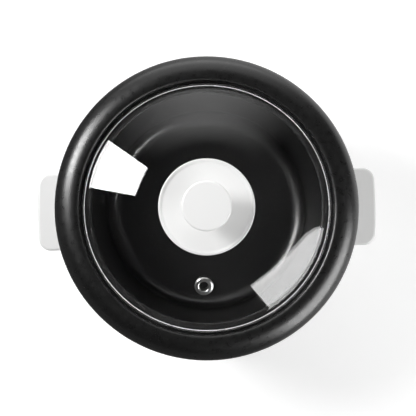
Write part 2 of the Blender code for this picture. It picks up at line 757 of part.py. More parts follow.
def switch_parts():
    front = switch_front()
    half = SWITCH_WIDTH / 2
    box = block_mesh(
        "switch_body",
        (-half, -front, CONTROL_HEIGHT - SWITCH_HEIGHT / 2),
        (half, -front + SWITCH_DEPTH, CONTROL_HEIGHT + SWITCH_HEIGHT / 2),
    )
    body = piece("switch_body", box, "black_plastic")
    turn = towards(-90)
    place = (0, 0, CONTROL_HEIGHT)
    face = panel_face()
    bush_end = face + 0.0042
    combined(body, [rod("bush", BUSH_RADIUS, front - 0.002, bush_end, turn, place, 16)], "UNION")
    bore = rod("bore", SHAFT_RADIUS + GAP, front - 0.011, bush_end + 0.001, turn, place, 16)
    combined(body, [bore])
    end = dial_front() - DIAL_GRIP_HEIGHT - 0.0018
    mesh = rod("switch_shaft", SHAFT_RADIUS, front - 0.0105, end, turn, (0, 0, 0), 16)
    shaft = piece("switch_shaft", mesh, "steel")
    shaft.location = place
    lift = Matrix.Translation(place) @ turn
    washer = washer_profile(BUSH_RADIUS + GAP, 0.0070, face, face + 0.0006)
    mesh = turned("switch_washer", washer, 16)
    mesh.transform(lift)
    piece("switch_washer", mesh, "steel")
    seat = face + 0.0006 + GAP
    mesh = nut("switch_nut", 0.0125, BUSH_RADIUS + HOLE_CLEARANCE, seat, seat + 0.0024)
    mesh.transform(lift)
    piece("switch_nut", mesh, "steel")


def control_knob():
    hollow = panel_face() + 0.0048
    bore = SHAFT_RADIUS + GAP
    face = dial_front() - DIAL_GRIP_HEIGHT
    profile = [(0, face), (DIAL_RADIUS - 0.0018, face), (DIAL_RADIUS - 0.0004, face - 0.0012)]
    profile += [(DIAL_RADIUS, dial_back()), (0.0086, dial_back()), (0.0086, hollow), (bore, hollow)]
    profile += [(bore, face - 0.0014), (0, face - 0.0014)]
    mesh = turned("control_knob", profile, 20)
    mesh.transform(towards(-90))
    dial = piece("control_knob", mesh, "white_plastic")
    half = DIAL_GRIP_WIDTH / 2
    reach = DIAL_RADIUS - 0.0016
    outlines = []
    for inset, y in ((0.0, -face + 0.001), (0.0, -dial_front() + 0.001), (0.0008, -dial_front())):
        outline = rounded_outline(
            -half + inset, half - inset, -reach + inset, reach - inset, half - 0.0004 - inset, 3
        )
        outlines.append([(x, y, z) for x, z in outline])
    combined(dial, [stacked("grip", outlines)], "UNION")
    dial.data.transform(Matrix.Rotation(math.radians(-DIAL_REST_TURN), 4, "Y"))
    dial.location = (0, 0, CONTROL_HEIGHT)
    return dial


# Mains entry and wiring


def cord_gland():
    wall = shell_radius(GLAND_HEIGHT)
    seat = wall + GAP + 0.0007
    inner = wall - 0.0125
    profile = [(GLAND_BORE, inner), (GLAND_RADIUS, inner), (GLAND_RADIUS, seat)]
    profile += [(GLAND_FLANGE_RADIUS, seat), (GLAND_FLANGE_RADIUS - 0.001, seat + 0.003)]
    profile += [(GLAND_BORE + 0.001, seat + 0.003), (GLAND_BORE, seat + 0.001)]
    mesh = turned("cord_gland", profile, 16)
    lift = Matrix.Translation((0, 0, GLAND_HEIGHT)) @ towards(90)
    mesh.transform(lift)
    piece("cord_gland", mesh, "black_plastic")
    back = wall - SHELL_THICKNESS - 0.0018
    mesh = nut("gland_nut", 0.0155, GLAND_RADIUS + GAP, back - 0.004, back)
    mesh.transform(lift)
    piece("gland_nut", mesh, "black_plastic")


def earth_place():
    return (-0.030, 0.025)


def terminal_parts():
    top = plate_top()
    floor = top + GAP
    half = BLOCK_WIDTH / 2
    body = block_mesh(
        "terminal_block",
        (-half, BLOCK_PLACE - BLOCK_DEPTH / 2, floor),
        (half, BLOCK_PLACE + BLOCK_DEPTH / 2, floor + BLOCK_HEIGHT),
    )
    block = piece("terminal_block", body, "ceramic")
    hole = SMALL_SCREW_RADIUS + HOLE_CLEARANCE
    cuts = [rod("hole", hole, floor - 0.002, floor + 0.007, None, (0, BLOCK_PLACE, 0), 8)]
    for x in (-0.0085, 0.0, 0.0085):
        cuts.append(rod("well", 0.0022, floor + 0.0085, floor + 0.020, None, (x, BLOCK_PLACE, 0), 8))
    combined(block, cuts)
    under = top - PLATE_THICKNESS - GAP
    profile = [(0, under + 0.0085), (SMALL_SCREW_RADIUS, under + 0.0080)]
    profile += [(SMALL_SCREW_RADIUS, under), (0.003, under), (0.0026, under - 0.0018)]
    profile += [(0, under - 0.0018)]
    screw = piece("block_screw", turned("block_screw", profile, 10), "steel")
    screw.location = (0, BLOCK_PLACE, 0)
    profile = [(0, top + GAP + 0.002), (0.0026, top + GAP + 0.002), (0.003, top + GAP)]
    profile += [(SMALL_SCREW_RADIUS, top + GAP), (SMALL_SCREW_RADIUS, top - 0.003)]
    profile += [(0, top - 0.0035)]
    screw = piece("earth_screw", turned("earth_screw", profile, 10), "steel")
    screw.location = (*earth_place(), 0)


def fuse_parts():
    mesh = rod(
        "thermal_fuse", FUSE_RADIUS, -FUSE_LENGTH / 2, FUSE_LENGTH / 2, towards(90),
        (FUSE_PLACE, 0, fuse_height()), 10,
    )
    piece("thermal_fuse", mesh, "ceramic")
    top = liner_bottom() - GAP
    thick = 0.0006
    inner = FUSE_RADIUS + 0.0004
    outer = inner + thick
    low = fuse_height() - inner
    flange = outer + 0.006
    bend = 0.0010
    side = [
        (flange, top), (inner, top), (inner, low + bend), (inner - bend, low),
        (bend - inner, low), (-inner, low + bend), (-inner, top), (-flange, top),
        (-flange, top - thick), (-outer, top - thick), (-outer, low + bend - 0.0003),
        (bend - inner - 0.0003, low - thick), (inner - bend + 0.0003, low - thick),
        (outer, low + bend - 0.0003), (outer, top - thick), (flange, top - thick),
    ]
    outlines = [[(FUSE_PLACE + x, y, z) for x, z in side] for y in (-0.003, 0.003)]
    piece("fuse_clip", stacked("fuse_clip", outlines), "steel")


def lead(name, finish, points):
    """An insulated wire along a smooth path through the given points, with flat ends."""
    curve = bpy.data.curves.new(name, "CURVE")
    curve.dimensions = "3D"
    curve.resolution_u = 3
    curve.bevel_depth = LEAD_RADIUS
    curve.bevel_resolution = 1
    curve.use_fill_caps = True
    spline = curve.splines.new("BEZIER")
    spline.bezier_points.add(len(points) - 1)
    for point, place in zip(spline.bezier_points, points):
        point.co = place
        point.handle_left_type = "AUTO"
        point.handle_right_type = "AUTO"
    curve.materials.append(material(finish))
    made = bpy.data.objects.new(name, curve)
    bpy.context.scene.collection.objects.link(made)
    return made


def tab_end(degrees):
    """The point just under a heater tab."""
    radius = liner_outer_radius(HEATER_LOW) + GAP + HEATER_THICKNESS / 2
    angle = math.radians(degrees)
    low = HEATER_LOW - HEATER_TAB_DROP - GAP
    return (radius * math.cos(angle), radius * math.sin(angle), low)


def leads():
    run = 0.0035  # each lead leaves its terminal straight for this far
    port = BLOCK_PLACE - BLOCK_DEPTH / 2 - GAP
    level = plate_top() + 0.006
    back = -switch_front() + SWITCH_DEPTH + GAP
    mid = CONTROL_HEIGHT
    fuse_end = FUSE_LENGTH / 2 + GAP
    side = 0.030  # the heater leads pass this far to each side of the switch
    rear = back + 0.008
    fuse = fuse_height()
    low_tab, high_tab, common_tab = [tab_end(angle) for angle in HEATER_TAB_ANGLES]
    lead(
        "lead_live", "brown_wire",
        [(0.0085, port, level), (0.0085, port - run, level), (0.020, port - 0.028, level + 0.004),
         (FUSE_PLACE, fuse_end + run, fuse), (FUSE_PLACE, fuse_end, fuse)],
    )
    lead(
        "lead_fuse", "brown_wire",
        [(FUSE_PLACE, -fuse_end, fuse), (FUSE_PLACE, -fuse_end - run, fuse), (0.020, back + 0.044, mid - 0.002),
         (0.008, back + run, mid), (0.008, back, mid)],
    )
    lead(
        "lead_low", "brown_wire",
        [(-0.008, back, mid), (-0.008, back + run, mid), (-side, rear, mid + 0.004),
         (low_tab[0], low_tab[1] - 0.0020, low_tab[2] - 0.010), low_tab],
    )
    lead(
        "lead_high", "brown_wire",
        [(0.0, back, mid - 0.006), (0.0, back + run, mid - 0.006), (side, rear, mid + 0.002),
         (high_tab[0], high_tab[1] - 0.0020, high_tab[2] - 0.010), high_tab],
    )
    lead(
        "lead_neutral", "blue_wire",
        [(-0.0085, port, level), (-0.0085, port - run, level), (-0.034, port, level + 0.004),
         (common_tab[0], common_tab[1] + 0.0020, common_tab[2] - 0.012), common_tab],
    )
    x, y = earth_place()
    end = y + 0.003 + GAP
    lead(
        "lead_earth", "green_wire",
        [(0.0, port, level), (0.0, port - run, level), (-0.020, (port + end) / 2, level - 0.0025),
         (x, end + run, plate_top() + 0.0017), (x, end, plate_top() + 0.0017)],
    )


# Lid


def lid_glass():
    top = LEDGE_HEIGHT + GAP + LID_THICKNESS
    low = LEDGE_HEIGHT + GAP
    hole = LID_HOLE_RADIUS
    reach = LID_FLANGE_RADIUS
    edge = 0.0014
    outer = [hole + (reach - hole) * k / 7 for k in range(8)]
    profile = [(r, dome_height(r)) for r in outer]
    profile += [(LID_RADIUS - edge, top), (LID_RADIUS, top - edge)]
    profile += [(LID_RADIUS, low + edge), (LID_RADIUS - edge, low)]
    inner_reach = reach - 0.0008
    floor_radii = [hole + (inner_reach - hole) * k / 6 for k in range(7)]
    lift = low - dome_height(inner_reach, LID_THICKNESS)
    blend = [(k / 6) ** 6 * lift for k in range(7)]
    under = [(r, dome_height(r, LID_THICKNESS) + b) for r, b in zip(floor_radii, blend)]
    profile += list(reversed(under))
    glass = piece("lid_glass", turned("lid_glass", profile), "clear_glass")
    cut = rod("hole", VENT_TUBE_RADIUS + HOLE_CLEARANCE, -0.012, 0.012, None, (0, 0, 0), 16)
    cut.transform(vent_frame())
    return combined(glass, [cut])


def vent_frame():
    """Stands a shape made along Z on the lid's outer surface at the vent, square to the glass."""
    tilt = math.asin(VENT_PLACE / LID_SPHERE)
    height = dome_height(VENT_PLACE)
    spin = Matrix.Rotation(math.radians(VENT_ANGLE), 4, "Z")
    lean = Matrix.Rotation(tilt, 4, "Y")
    return spin @ Matrix.Translation((VENT_PLACE, 0, height)) @ lean


def vent_eyelet():
    flange = VENT_FLANGE_RADIUS
    tube = VENT_TUBE_RADIUS
    bore = VENT_BORE_RADIUS
    mouth = VENT_MOUTH_RADIUS
    low = -LID_THICKNESS - 0.0005
    profile = [(mouth, 0.0011), (mouth + 0.0012, 0.0019), (flange - 0.0012, 0.0014)]
    profile += [(flange, 0.0002 + GAP), (tube, GAP), (tube, low), (flange - 0.0016, low)]
    profile += [(flange - 0.0022, low - 0.0011), (bore + 0.0004, low - 0.0014), (bore, low)]
    profile += [(bore, -0.0015)]
    mesh = turned("vent_eyelet", profile, 16)
    mesh.transform(vent_frame())
    return piece("vent_eyelet", mesh, "steel")


def knob_skirt():
    radius = SKIRT_RADIUS
    floor = skirt_floor()
    edge = floor + SKIRT_LIP
    bore = LID_SCREW_RADIUS + HOLE_CLEARANCE
    seat = boss_bottom()
    low = dome_height(radius) + 0.0004
    profile = [(bore, floor + 0.0020), (0.0140, floor + 0.0020), (0.0185, floor)]
    profile += [(radius - 0.0035, floor + 0.0004), (radius - 0.0018, edge - 0.0003)]
    profile += [(radius - 0.0010, edge), (radius - 0.0002, edge - 0.0006), (radius, edge - 0.0016)]
    profile += [(radius - 0.0008, low), (radius - 0.0030, low + 0.0004)]
    profile += [(radius - 0.0036, floor - 0.0022), (0.0128, floor - 0.0022)]
    profile += [(0.0122, seat), (bore, seat)]
    return piece("knob_skirt", turned("knob_skirt", profile, 28), "white_plastic")


def gasket_bottom():
    return dome_height(0.0) + GAP


def boss_bottom():
    return gasket_bottom() + 0.0012 + GAP


def lid_knob():
    top = skirt_floor() + KNOB_RISE
    seat = skirt_floor() + 0.0020 + GAP
    bore = 0.0043
    neck = KNOB_NECK_RADIUS
    profile = [(0, top), (KNOB_RADIUS - 0.0022, top), (KNOB_RADIUS - 0.0006, top - 0.0007)]
    profile += [(KNOB_RADIUS, top - 0.0022), (KNOB_RADIUS - 0.0006, top - 0.0075)]
    profile += [(KNOB_RADIUS - 0.0045, top - 0.0125), (neck + 0.0004, top - 0.0195)]
    profile += [(neck, top - 0.0240), (neck + 0.0006, seat + 0.0045), (0.0138, seat)]
    profile += [(bore, seat), (bore, seat + 0.0180), (0, seat + 0.0180)]
    return piece("lid_knob", turned("lid_knob", profile, 28), "white_plastic")


def lid_fixings():
    seat = skirt_floor() + 0.0020 + GAP
    insert = washer_profile(LID_SCREW_RADIUS + GAP, 0.0040, seat + 0.0002, seat + 0.0170)
    piece("knob_insert", turned("knob_insert", insert, 16), "brass")
    low = gasket_bottom()
    gasket = washer_profile(LID_HOLE_RADIUS, 0.0120, low, low + 0.0012)
    piece("knob_gasket", turned("knob_gasket", gasket, 16), "silicone")
    under = dome_height(0.0, LID_THICKNESS) - 0.0006
    gasket = washer_profile(LID_SCREW_RADIUS + HOLE_CLEARANCE, 0.0095, under - 0.0015, under)
    piece("lid_gasket", turned("lid_gasket", gasket, 16), "silicone")
    under -= 0.0015 + GAP
    washer = washer_profile(LID_SCREW_RADIUS + HOLE_CLEARANCE, 0.0085, under - 0.0012, under)
    piece("lid_washer", turned("lid_washer", washer, 16), "steel")
    under -= 0.0012 + GAP
    tip = seat + 0.0150
    profile = [(0, tip), (LID_SCREW_RADIUS, tip - 0.0008), (LID_SCREW_RADIUS, under)]
    profile += [(0.0042, under), (0.0036, under - 0.0022), (0, under - 0.0028)]
    piece("lid_screw", turned("lid_screw", profile, 16), "steel")


def main():
    clear_scene()
    crock()
    heating_liner()
    housing_shell()
    base_plate()
    feet()
    tie_parts()
    heater_band()
    band_strap()
    strap_fasteners()
    handles()
    handle_screws()
    control_panel()
    switch_parts()
    control_knob()
    cord_gland()
    terminal_parts()
    fuse_parts()
    leads()
    lid_glass()
    vent_eyelet()
    knob_skirt()
    lid_knob()
    lid_fixings()


main()
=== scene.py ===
"""The looks of a round slow cooker: white housing, black stoneware crock, domed glass lid.

Every fine piece is a surface worked out with numpy from the sizes of the sub-assembly that it
belongs to, and stands for the plain CAD nodes that it covers. Lengths are in metres, +Z is up,
the heat dial faces -Y and the handles lie at -X and +X.
"""

import json
import logging
import math
from dataclasses import dataclass, replace
from enum import Enum

import bpy
import numpy as np
from mathutils import Matrix, Vector


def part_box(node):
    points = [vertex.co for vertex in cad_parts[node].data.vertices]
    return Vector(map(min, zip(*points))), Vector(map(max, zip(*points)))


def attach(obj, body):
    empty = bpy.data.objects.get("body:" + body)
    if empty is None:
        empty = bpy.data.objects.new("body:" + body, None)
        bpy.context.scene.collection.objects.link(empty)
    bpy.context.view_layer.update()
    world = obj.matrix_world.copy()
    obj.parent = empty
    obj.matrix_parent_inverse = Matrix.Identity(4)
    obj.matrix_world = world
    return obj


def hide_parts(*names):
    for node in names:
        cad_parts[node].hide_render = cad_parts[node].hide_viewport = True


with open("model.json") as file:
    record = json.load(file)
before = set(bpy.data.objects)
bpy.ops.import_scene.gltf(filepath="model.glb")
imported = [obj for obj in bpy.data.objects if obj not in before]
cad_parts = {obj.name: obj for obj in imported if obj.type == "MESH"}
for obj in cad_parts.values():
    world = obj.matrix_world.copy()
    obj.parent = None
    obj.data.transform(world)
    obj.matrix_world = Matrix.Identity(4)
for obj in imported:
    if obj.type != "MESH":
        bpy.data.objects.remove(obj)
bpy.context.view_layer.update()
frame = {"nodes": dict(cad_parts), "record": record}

LOG = logging.getLogger("slow_cooker")
Array = np.ndarray
Colour = tuple[float, float, float]
Outline = tuple[Array, list[tuple[int, ...]]]
Pairs = tuple[tuple[float, float], ...]

GAP = 0.0003  # between pieces that touch
SHARP_ANGLE = math.radians(40)  # edges that turn further than this stay sharp
POLE_RADIUS = 1e-7  # a profile's point nearer to the axis than this is a pole
SIDE_SHARE = 0.499  # the most of a corner's side that its fillet may take


class Body(Enum):
    """The bodies that move as one."""

    BASE = "base"
    DIAL = "dial"
    CROCK = "crock_body"
    LID = "lid"


class Slot(Enum):
    """The record's material slots."""

    PAINT = "white_paint"
    PLASTIC = "white_plastic"
    GLAZE = "black_glaze"
    GLASS = "clear_glass"
    STEEL = "steel"
    ALUMINIUM = "aluminium"
    BRASS = "brass"
    RUBBER = "rubber"
    SILICONE = "silicone"
    MICA = "mica"
    CERAMIC = "ceramic"
    BLACK_PLASTIC = "black_plastic"
    BROWN_WIRE = "brown_wire"
    BLUE_WIRE = "blue_wire"
    GREEN_WIRE = "green_wire"


# Surfaces


def arc(centre: tuple[float, float], radius: float, start: float, end: float, parts: int) -> Array:
    """Points on a circle: centre plus radius times the cosine and sine of an even run of angles.

    Args:
        centre: Centre as (radius, height).
        radius: The circle's radius.
        start: First angle in degrees.
        end: Last angle in degrees.
        parts: Number of equal steps.

    Returns:
        Array of parts + 1 rows of (radius, height).
    """
    angle = np.radians(np.linspace(start, end, parts + 1))
    return np.stack([centre[0] + radius * np.cos(angle), centre[1] + radius * np.sin(angle)], 1)


def rounded(corners: list[tuple[float, float, float]], parts: int = 6, closed: bool = True) -> Array:
    """A profile through corners, each rounded by a circular fillet tangent to both of its sides.

    The fillet's centre lies on the corner's bisector, at the fillet radius over the sine of half
    the corner's angle, and its points turn evenly from one side to the other.

    Args:
        corners: Rows of (radius, height, fillet radius); a fillet of 0 keeps the corner sharp.
        parts: Steps along each fillet.
        closed: Whether the last corner joins the first.

    Returns:
        Array of (radius, height) rows.
    """
    points = np.array([c[:2] for c in corners], float)
    radii = np.array([c[2] for c in corners], float)
    out = []
    for i, (here, radius) in enumerate(zip(points, radii)):
        ends = not closed and i in (0, len(points) - 1)
        if radius <= 0 or ends:
            out.append(here[None])
            continue
        a = points[i - 1] - here
        b = points[(i + 1) % len(points)] - here
        la, lb = np.hypot(*a), np.hypot(*b)
        a, b = a / la, b / lb
        half = math.acos(float(np.clip(a @ b, -1, 1))) / 2
        reach = min(radius / math.tan(half), SIDE_SHARE * la, SIDE_SHARE * lb)
        size = reach * math.tan(half)
        middle = here + (a + b) / np.hypot(*(a + b)) * size / math.sin(half)
        first, last = here + a * reach - middle, here + b * reach - middle
        turn = math.atan2(first[0] * last[1] - first[1] * last[0], float(first @ last))
        angle = np.linspace(0, turn, parts + 1)
        across = np.array([-first[1], first[0]])
        out.append(middle + np.cos(angle)[:, None] * first + np.sin(angle)[:, None] * across)
    return np.concatenate(out)


def bend(radius: float, start: float, end: float, count: int) -> list[tuple[float, float]]:
    """Steps round an edge fillet: how far in from its side, and how far short of its face.

    They are the radius times one less the cosine, and the radius times one less the sine.

    Args:
        radius: The fillet's radius.
        start: First angle in degrees; 0 is on the side and 90 is on the face.
        end: Last angle in degrees.
        count: Number of angles.

    Returns:
        Pairs of (inset, drop).
    """
    angles = np.radians(np.linspace(start, end, count))
    return [(radius * (1 - math.cos(a)), radius * (1 - math.sin(a))) for a in angles]


def store(name: str, points: Array, quads: Array, others: list[Array] | None = None) -> bpy.types.Mesh:
    """Puts computed corners and faces into a mesh with foreach_set.

    Args:
        name: The mesh's name.
        points: Corners, one row each.
        quads: Four-cornered faces, one row each.
        others: Further faces of any size, each an array with one face a row.

    Returns:
        The mesh, shaded smooth.
    """
    groups = [g for g in [quads, *(others or [])] if len(g)]
    corners = np.concatenate([g.ravel() for g in groups]).astype(np.int32)
    totals = np.concatenate([np.full(len(g), g.shape[1]) for g in groups]).astype(np.int32)
    starts = np.concatenate([[0], np.cumsum(totals)[:-1]]).astype(np.int32)
    mesh = bpy.data.meshes.new(name)
    mesh.vertices.add(len(points))
    mesh.vertices.foreach_set("co", np.asarray(points, np.float32).ravel())
    mesh.loops.add(len(corners))
    mesh.loops.foreach_set("vertex_index", corners)
    mesh.polygons.add(len(totals))
    mesh.polygons.foreach_set("loop_start", starts)
    mesh.update(calc_edges=True)
    mesh.validate()
    mesh.shade_smooth()
    mesh.set_sharp_from_angle(angle=SHARP_ANGLE)
    return mesh


def turned(name: str, profile: Array, segments: int = 192) -> bpy.types.Mesh:
    """A closed profile turned round Z: x = r cos u, y = r sin u, z = h, for each profile point (r, h).

    A point at radius 0 is one pole. The profile's direction doesn't matter: its signed area says
    which side is inside, and it is turned round if need be, so that the faces point outwards.

    Args:
        name: The mesh's name.
        profile: Rows of (radius, height) round the section.
        segments: Steps round the axis.

    Returns:
        The mesh.
    """
    r, h = profile[:, 0], profile[:, 1]
    if np.sum(r * np.roll(h, -1) - np.roll(r, -1) * h) < 0:
        r, h = r[::-1], h[::-1]
    u = np.arange(segments) * 2 * math.pi / segments
    grid = np.stack(
        [np.outer(r, np.cos(u)), np.outer(r, np.sin(u)), np.repeat(h[:, None], segments, 1)], 2
    )
    pole = r < POLE_RADIUS
    index = np.arange(len(r) * segments).reshape(len(r), segments)
    index[pole] = index[pole][:, :1]
    below, above = index, np.roll(index, -1, 0)
    quads = np.stack([below, np.roll(below, -1, 1), np.roll(above, -1, 1), above], 2)
    next_pole = np.roll(pole, -1)
    body = quads[~pole & ~next_pole].reshape(-1, 4)
    leaving = quads[pole & ~next_pole].reshape(-1, 4)[:, [0, 2, 3]]
    arriving = quads[~pole & next_pole].reshape(-1, 4)[:, [0, 1, 2]]
    points, faces = used_only(grid.reshape(-1, 3), [body, leaving, arriving])
    return store(name, points, faces[0], faces[1:])


def used_only(points: Array, faces: list[Array]) -> tuple[Array, list[Array]]:
    """Drops the corners that no face uses and numbers the rest again.

    Args:
        points: Corners, one row each.
        faces: Groups of faces, each an array with one face a row.

    Returns:
        The corners that are left, and the groups with their new numbers.
    """
    keep = np.zeros(len(points), bool)
    for group in faces:
        keep[group.ravel()] = True
    number = np.cumsum(keep) - 1
    return points[keep], [number[group] for group in faces]


def lofted(name: str, rings: Array) -> bpy.types.Mesh:
    """A closed body whose rings of corners follow each other, with a flat face on the first and last.

    Args:
        name: The mesh's name.
        rings: Array of rings, corners and (x, y, z), each ring running the same way round.

    Returns:
        The mesh, its faces turned outwards by the sign of its volume.
    """
    count, size = rings.shape[:2]
    index = np.arange(count * size).reshape(count, size)
    low, high = index[:-1], index[1:]
    quads = np.stack([low, np.roll(low, -1, 1), np.roll(high, -1, 1), high], 2).reshape(-1, 4)
    caps = [index[:1, ::-1], index[-1:]]
    points = rings.reshape(-1, 3)
    a, b, c, d = (points[quads[:, k]] for k in range(4))
    volume = np.sum(np.cross(a, b) * c) + np.sum(np.cross(a, c) * d)
    for cap in caps:
        fan = points[cap[0]]
        volume += np.sum(np.cross(fan[None, 0], fan[1:-1]) * fan[2:])
    if volume < 0:
        quads, caps = quads[:, ::-1], [cap[:, ::-1] for cap in caps]
    return store(name, points, quads, caps)


def outline(left: float, right: float, half: float, corner: float, parts: int = 12) -> Array:
    """A rectangle from left to right and -half to half with rounded corners, run anticlockwise.

    Args:
        left: Lowest first coordinate.
        right: Highest first coordinate.
        half: Half the extent of the second coordinate.
        corner: Corner radius.
        parts: Steps round each corner.

    Returns:
        Array of (first, second) rows, with the straight sides cut into even steps as well.
    """
    c = max(corner, 1e-5)
    bends = [
        arc((right - c, half - c), c, 0, 90, parts),
        arc((left + c, half - c), c, 90, 180, parts),
        arc((left + c, c - half), c, 180, 270, parts),
        arc((right - c, c - half), c, 270, 360, parts),
    ]
    share = np.linspace(0, 1, 13)[1:-1, None]
    out = []
    for bend, following in zip(bends, bends[1:] + bends[:1]):
        out += [bend, bend[-1] + (following[0] - bend[-1]) * share]
    return np.concatenate(out)


# Pieces


def node_radius(node: str) -> float:
    """Outer radius of a CAD node that is turned round the centre line."""
    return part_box(node)[1][0]


def node_low(node: str) -> float:
    """Height of a CAD node's lowest point."""
    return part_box(node)[0][2]


def node_top(node: str) -> float:
    """Height of a CAD node's highest point."""
    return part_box(node)[1][2]


def node_middle(node: str) -> Array:
    """Middle of a CAD node's box."""
    return np.mean([list(corner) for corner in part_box(node)], 0)


def node_size(node: str) -> Array:
    """Size of a CAD node's box along each axis."""
    low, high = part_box(node)
    return np.subtract(list(high), list(low))


def added(name: str, data: bpy.types.ID) -> bpy.types.Object:
    """Adds an object to the scene.

    Args:
        name: Its name.
        data: Its mesh, curve, lamp or camera.

    Returns:
        The object.
    """
    made = bpy.data.objects.new(name, data)
    bpy.context.scene.collection.objects.link(made)
    return made


def piece(
    mesh: bpy.types.Mesh, body: Body, finish: "Finish", replaces: tuple[str, ...] = ()
) -> bpy.types.Object:
    """Shows a mesh as a piece that rides on a body and stands for some CAD nodes.

    Args:
        mesh: The piece's mesh, already in its place.
        body: The body that it moves with.
        finish: What it is made of.
        replaces: The CAD nodes that it covers.

    Returns:
        The object.
    """
    made = added(mesh.name, mesh)
    mesh.materials.clear()
    mesh.materials.append(finish.material())
    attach(made, body.value)
    if replaces:
        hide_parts(*replaces)
    LOG.info("%s: %d faces on %s", made.name, len(mesh.polygons), body.value)
    return made


# Finishes


class Tree:
    """A node tree, with short calls to add and join nodes."""

    def __init__(self, tree: bpy.types.NodeTree) -> None:
        """Takes the tree that the nodes go into."""
        self.tree = tree

    def node(self, kind: str, **values: object) -> bpy.types.Node:
        """Adds a node.

        Args:
            kind: Its type.
            **values: Its plain properties.

        Returns:
            The node.
        """
        made = self.tree.nodes.new(kind)
        for key, value in values.items():
            setattr(made, key, value)
        return made

    def join(self, start: bpy.types.NodeSocket, end: bpy.types.NodeSocket) -> None:
        """Links an output to an input."""
        self.tree.links.new(start, end)

    def vector(
        self, operation: str, first: bpy.types.NodeSocket, second: bpy.types.NodeSocket | None = None
    ) -> bpy.types.NodeSocket:
        """Works out a vector from one or two others.

        Args:
            operation: What is done.
            first: The first vector.
            second: The second vector, where the operation has one.

        Returns:
            The vector.
        """
        made = self.node("ShaderNodeVectorMath", operation=operation)
        self.join(first, made.inputs[0])
        if second:
            self.join(second, made.inputs[1])
        return made.outputs["Vector"]

    def apart(self, vector: bpy.types.NodeSocket) -> bpy.types.NodeOutputs:
        """Splits a vector into its outputs X, Y and Z.

        Args:
            vector: The vector.

        Returns:
            The outputs.
        """
        made = self.node("ShaderNodeSeparateXYZ")
        self.join(vector, made.inputs["Vector"])
        return made.outputs

    def ranged(
        self, value: bpy.types.NodeSocket, low: float, high: float, start: float = 0.3, end: float = 0.7
    ) -> bpy.types.NodeSocket:
        """Maps a value from start..end to low..high.

        Args:
            value: The value.
            low: The result at start and below it.
            high: The result at end and above it.
            start: Where the range starts.
            end: Where the range ends.

        Returns:
            The result.
        """
        made = self.node("ShaderNodeMapRange")
        made.inputs["From Min"].default_value = start
        made.inputs["From Max"].default_value = end
        made.inputs["To Min"].default_value = low
        made.inputs["To Max"].default_value = high
        self.join(value, made.inputs["Value"])
        return made.outputs["Result"]

    def ramp(self, value: bpy.types.NodeSocket, stops: Pairs) -> bpy.types.NodeSocket:
        """Maps a value by straight lines between stops.

        Args:
            value: The value.
            stops: Pairs of (value, brightness), from low to high.

        Returns:
            The brightness.
        """
        made = self.node("ShaderNodeValToRGB")
        elements = made.color_ramp.elements
        while len(elements) < len(stops):
            elements.new(0.5)
        for element, (position, tone) in zip(elements, stops):
            element.position = position
            element.color = (tone, tone, tone, 1)
        self.join(value, made.inputs["Fac"])
        return made.outputs["Color"]


class Sheet(Tree):
    """A new material's node tree."""

    def __init__(self, name: str) -> None:
        """Starts a material that has a Principled shader and its output.

        Args:
            name: The material's name.
        """
        self.made = bpy.data.materials.new(name)
        self.made.use_nodes = True
        super().__init__(self.made.node_tree)
        self.shader = self.tree.nodes["Principled BSDF"]
        self.output = self.tree.nodes["Material Output"]
        self.place = self.node("ShaderNodeTexCoord").outputs["Object"]

    def set(self, **values: object) -> None:
        """Sets the shader's own sockets; an underscore stands for a space."""
        for key, value in values.items():
            self.shader.inputs[key.replace("_", " ")].default_value = value

    def noise(
        self, scale: float, detail: float = 3.0, stretch: tuple[float, float, float] | None = None
    ) -> bpy.types.NodeSocket:
        """A noise value over the piece.

        Args:
            scale: Cells a metre.
            detail: Number of finer layers.
            stretch: Factors on the scale along the axes.

        Returns:
            The value.
        """
        where = self.place
        if stretch:
            mapping = self.node("ShaderNodeMapping")
            mapping.inputs["Scale"].default_value = stretch
            self.join(where, mapping.inputs["Vector"])
            where = mapping.outputs["Vector"]
        made = self.node("ShaderNodeTexNoise")
        made.inputs["Scale"].default_value = scale
        made.inputs["Detail"].default_value = detail
        self.join(where, made.inputs["Vector"])
        return made.outputs["Fac"]

    def blend(self, share: bpy.types.NodeSocket, first: Colour, second: Colour) -> bpy.types.NodeSocket:
        """A colour between two.

        Args:
            share: How much of the second colour there is, from 0 to 1.
            first: The colour at 0.
            second: The colour at 1.

        Returns:
            The colour.
        """
        made = self.node("ShaderNodeMix", data_type="RGBA")
        self.join(share, made.inputs["Factor"])
        # The colour sockets share their names with the number sockets, so they are told by type.
        for socket, colour in zip([s for s in made.inputs if s.type == "RGBA"], (first, second)):
            socket.default_value = (*colour, 1.0)
        return next(s for s in made.outputs if s.type == "RGBA")

    def bump(self, height: bpy.types.NodeSocket, depth: float) -> None:
        """Raises the surface, on top of earlier bumps.

        Args:
            height: The value that raises it.
            depth: How far a value of 1 raises it.
        """
        made = self.node("ShaderNodeBump")
        made.inputs["Strength"].default_value = 1.0
        made.inputs["Distance"].default_value = depth
        self.join(height, made.inputs["Height"])
        earlier = self.shader.inputs["Normal"]
        if earlier.is_linked:
            self.join(earlier.links[0].from_socket, made.inputs["Normal"])
        self.join(made.outputs["Normal"], earlier)

    def instead(self, ray: str, other: bpy.types.NodeSocket) -> None:
        """Shows another shader to one kind of ray.

        Args:
            ray: The Light Path output that tells the ray.
            other: The shader that it sees.
        """
        path = self.node("ShaderNodeLightPath")
        mixed = self.node("ShaderNodeMixShader")
        self.join(path.outputs[ray], mixed.inputs[0])
        self.join(self.shader.outputs["BSDF"], mixed.inputs[1])
        self.join(other, mixed.inputs[2])
        self.join(mixed.outputs["Shader"], self.output.inputs["Surface"])


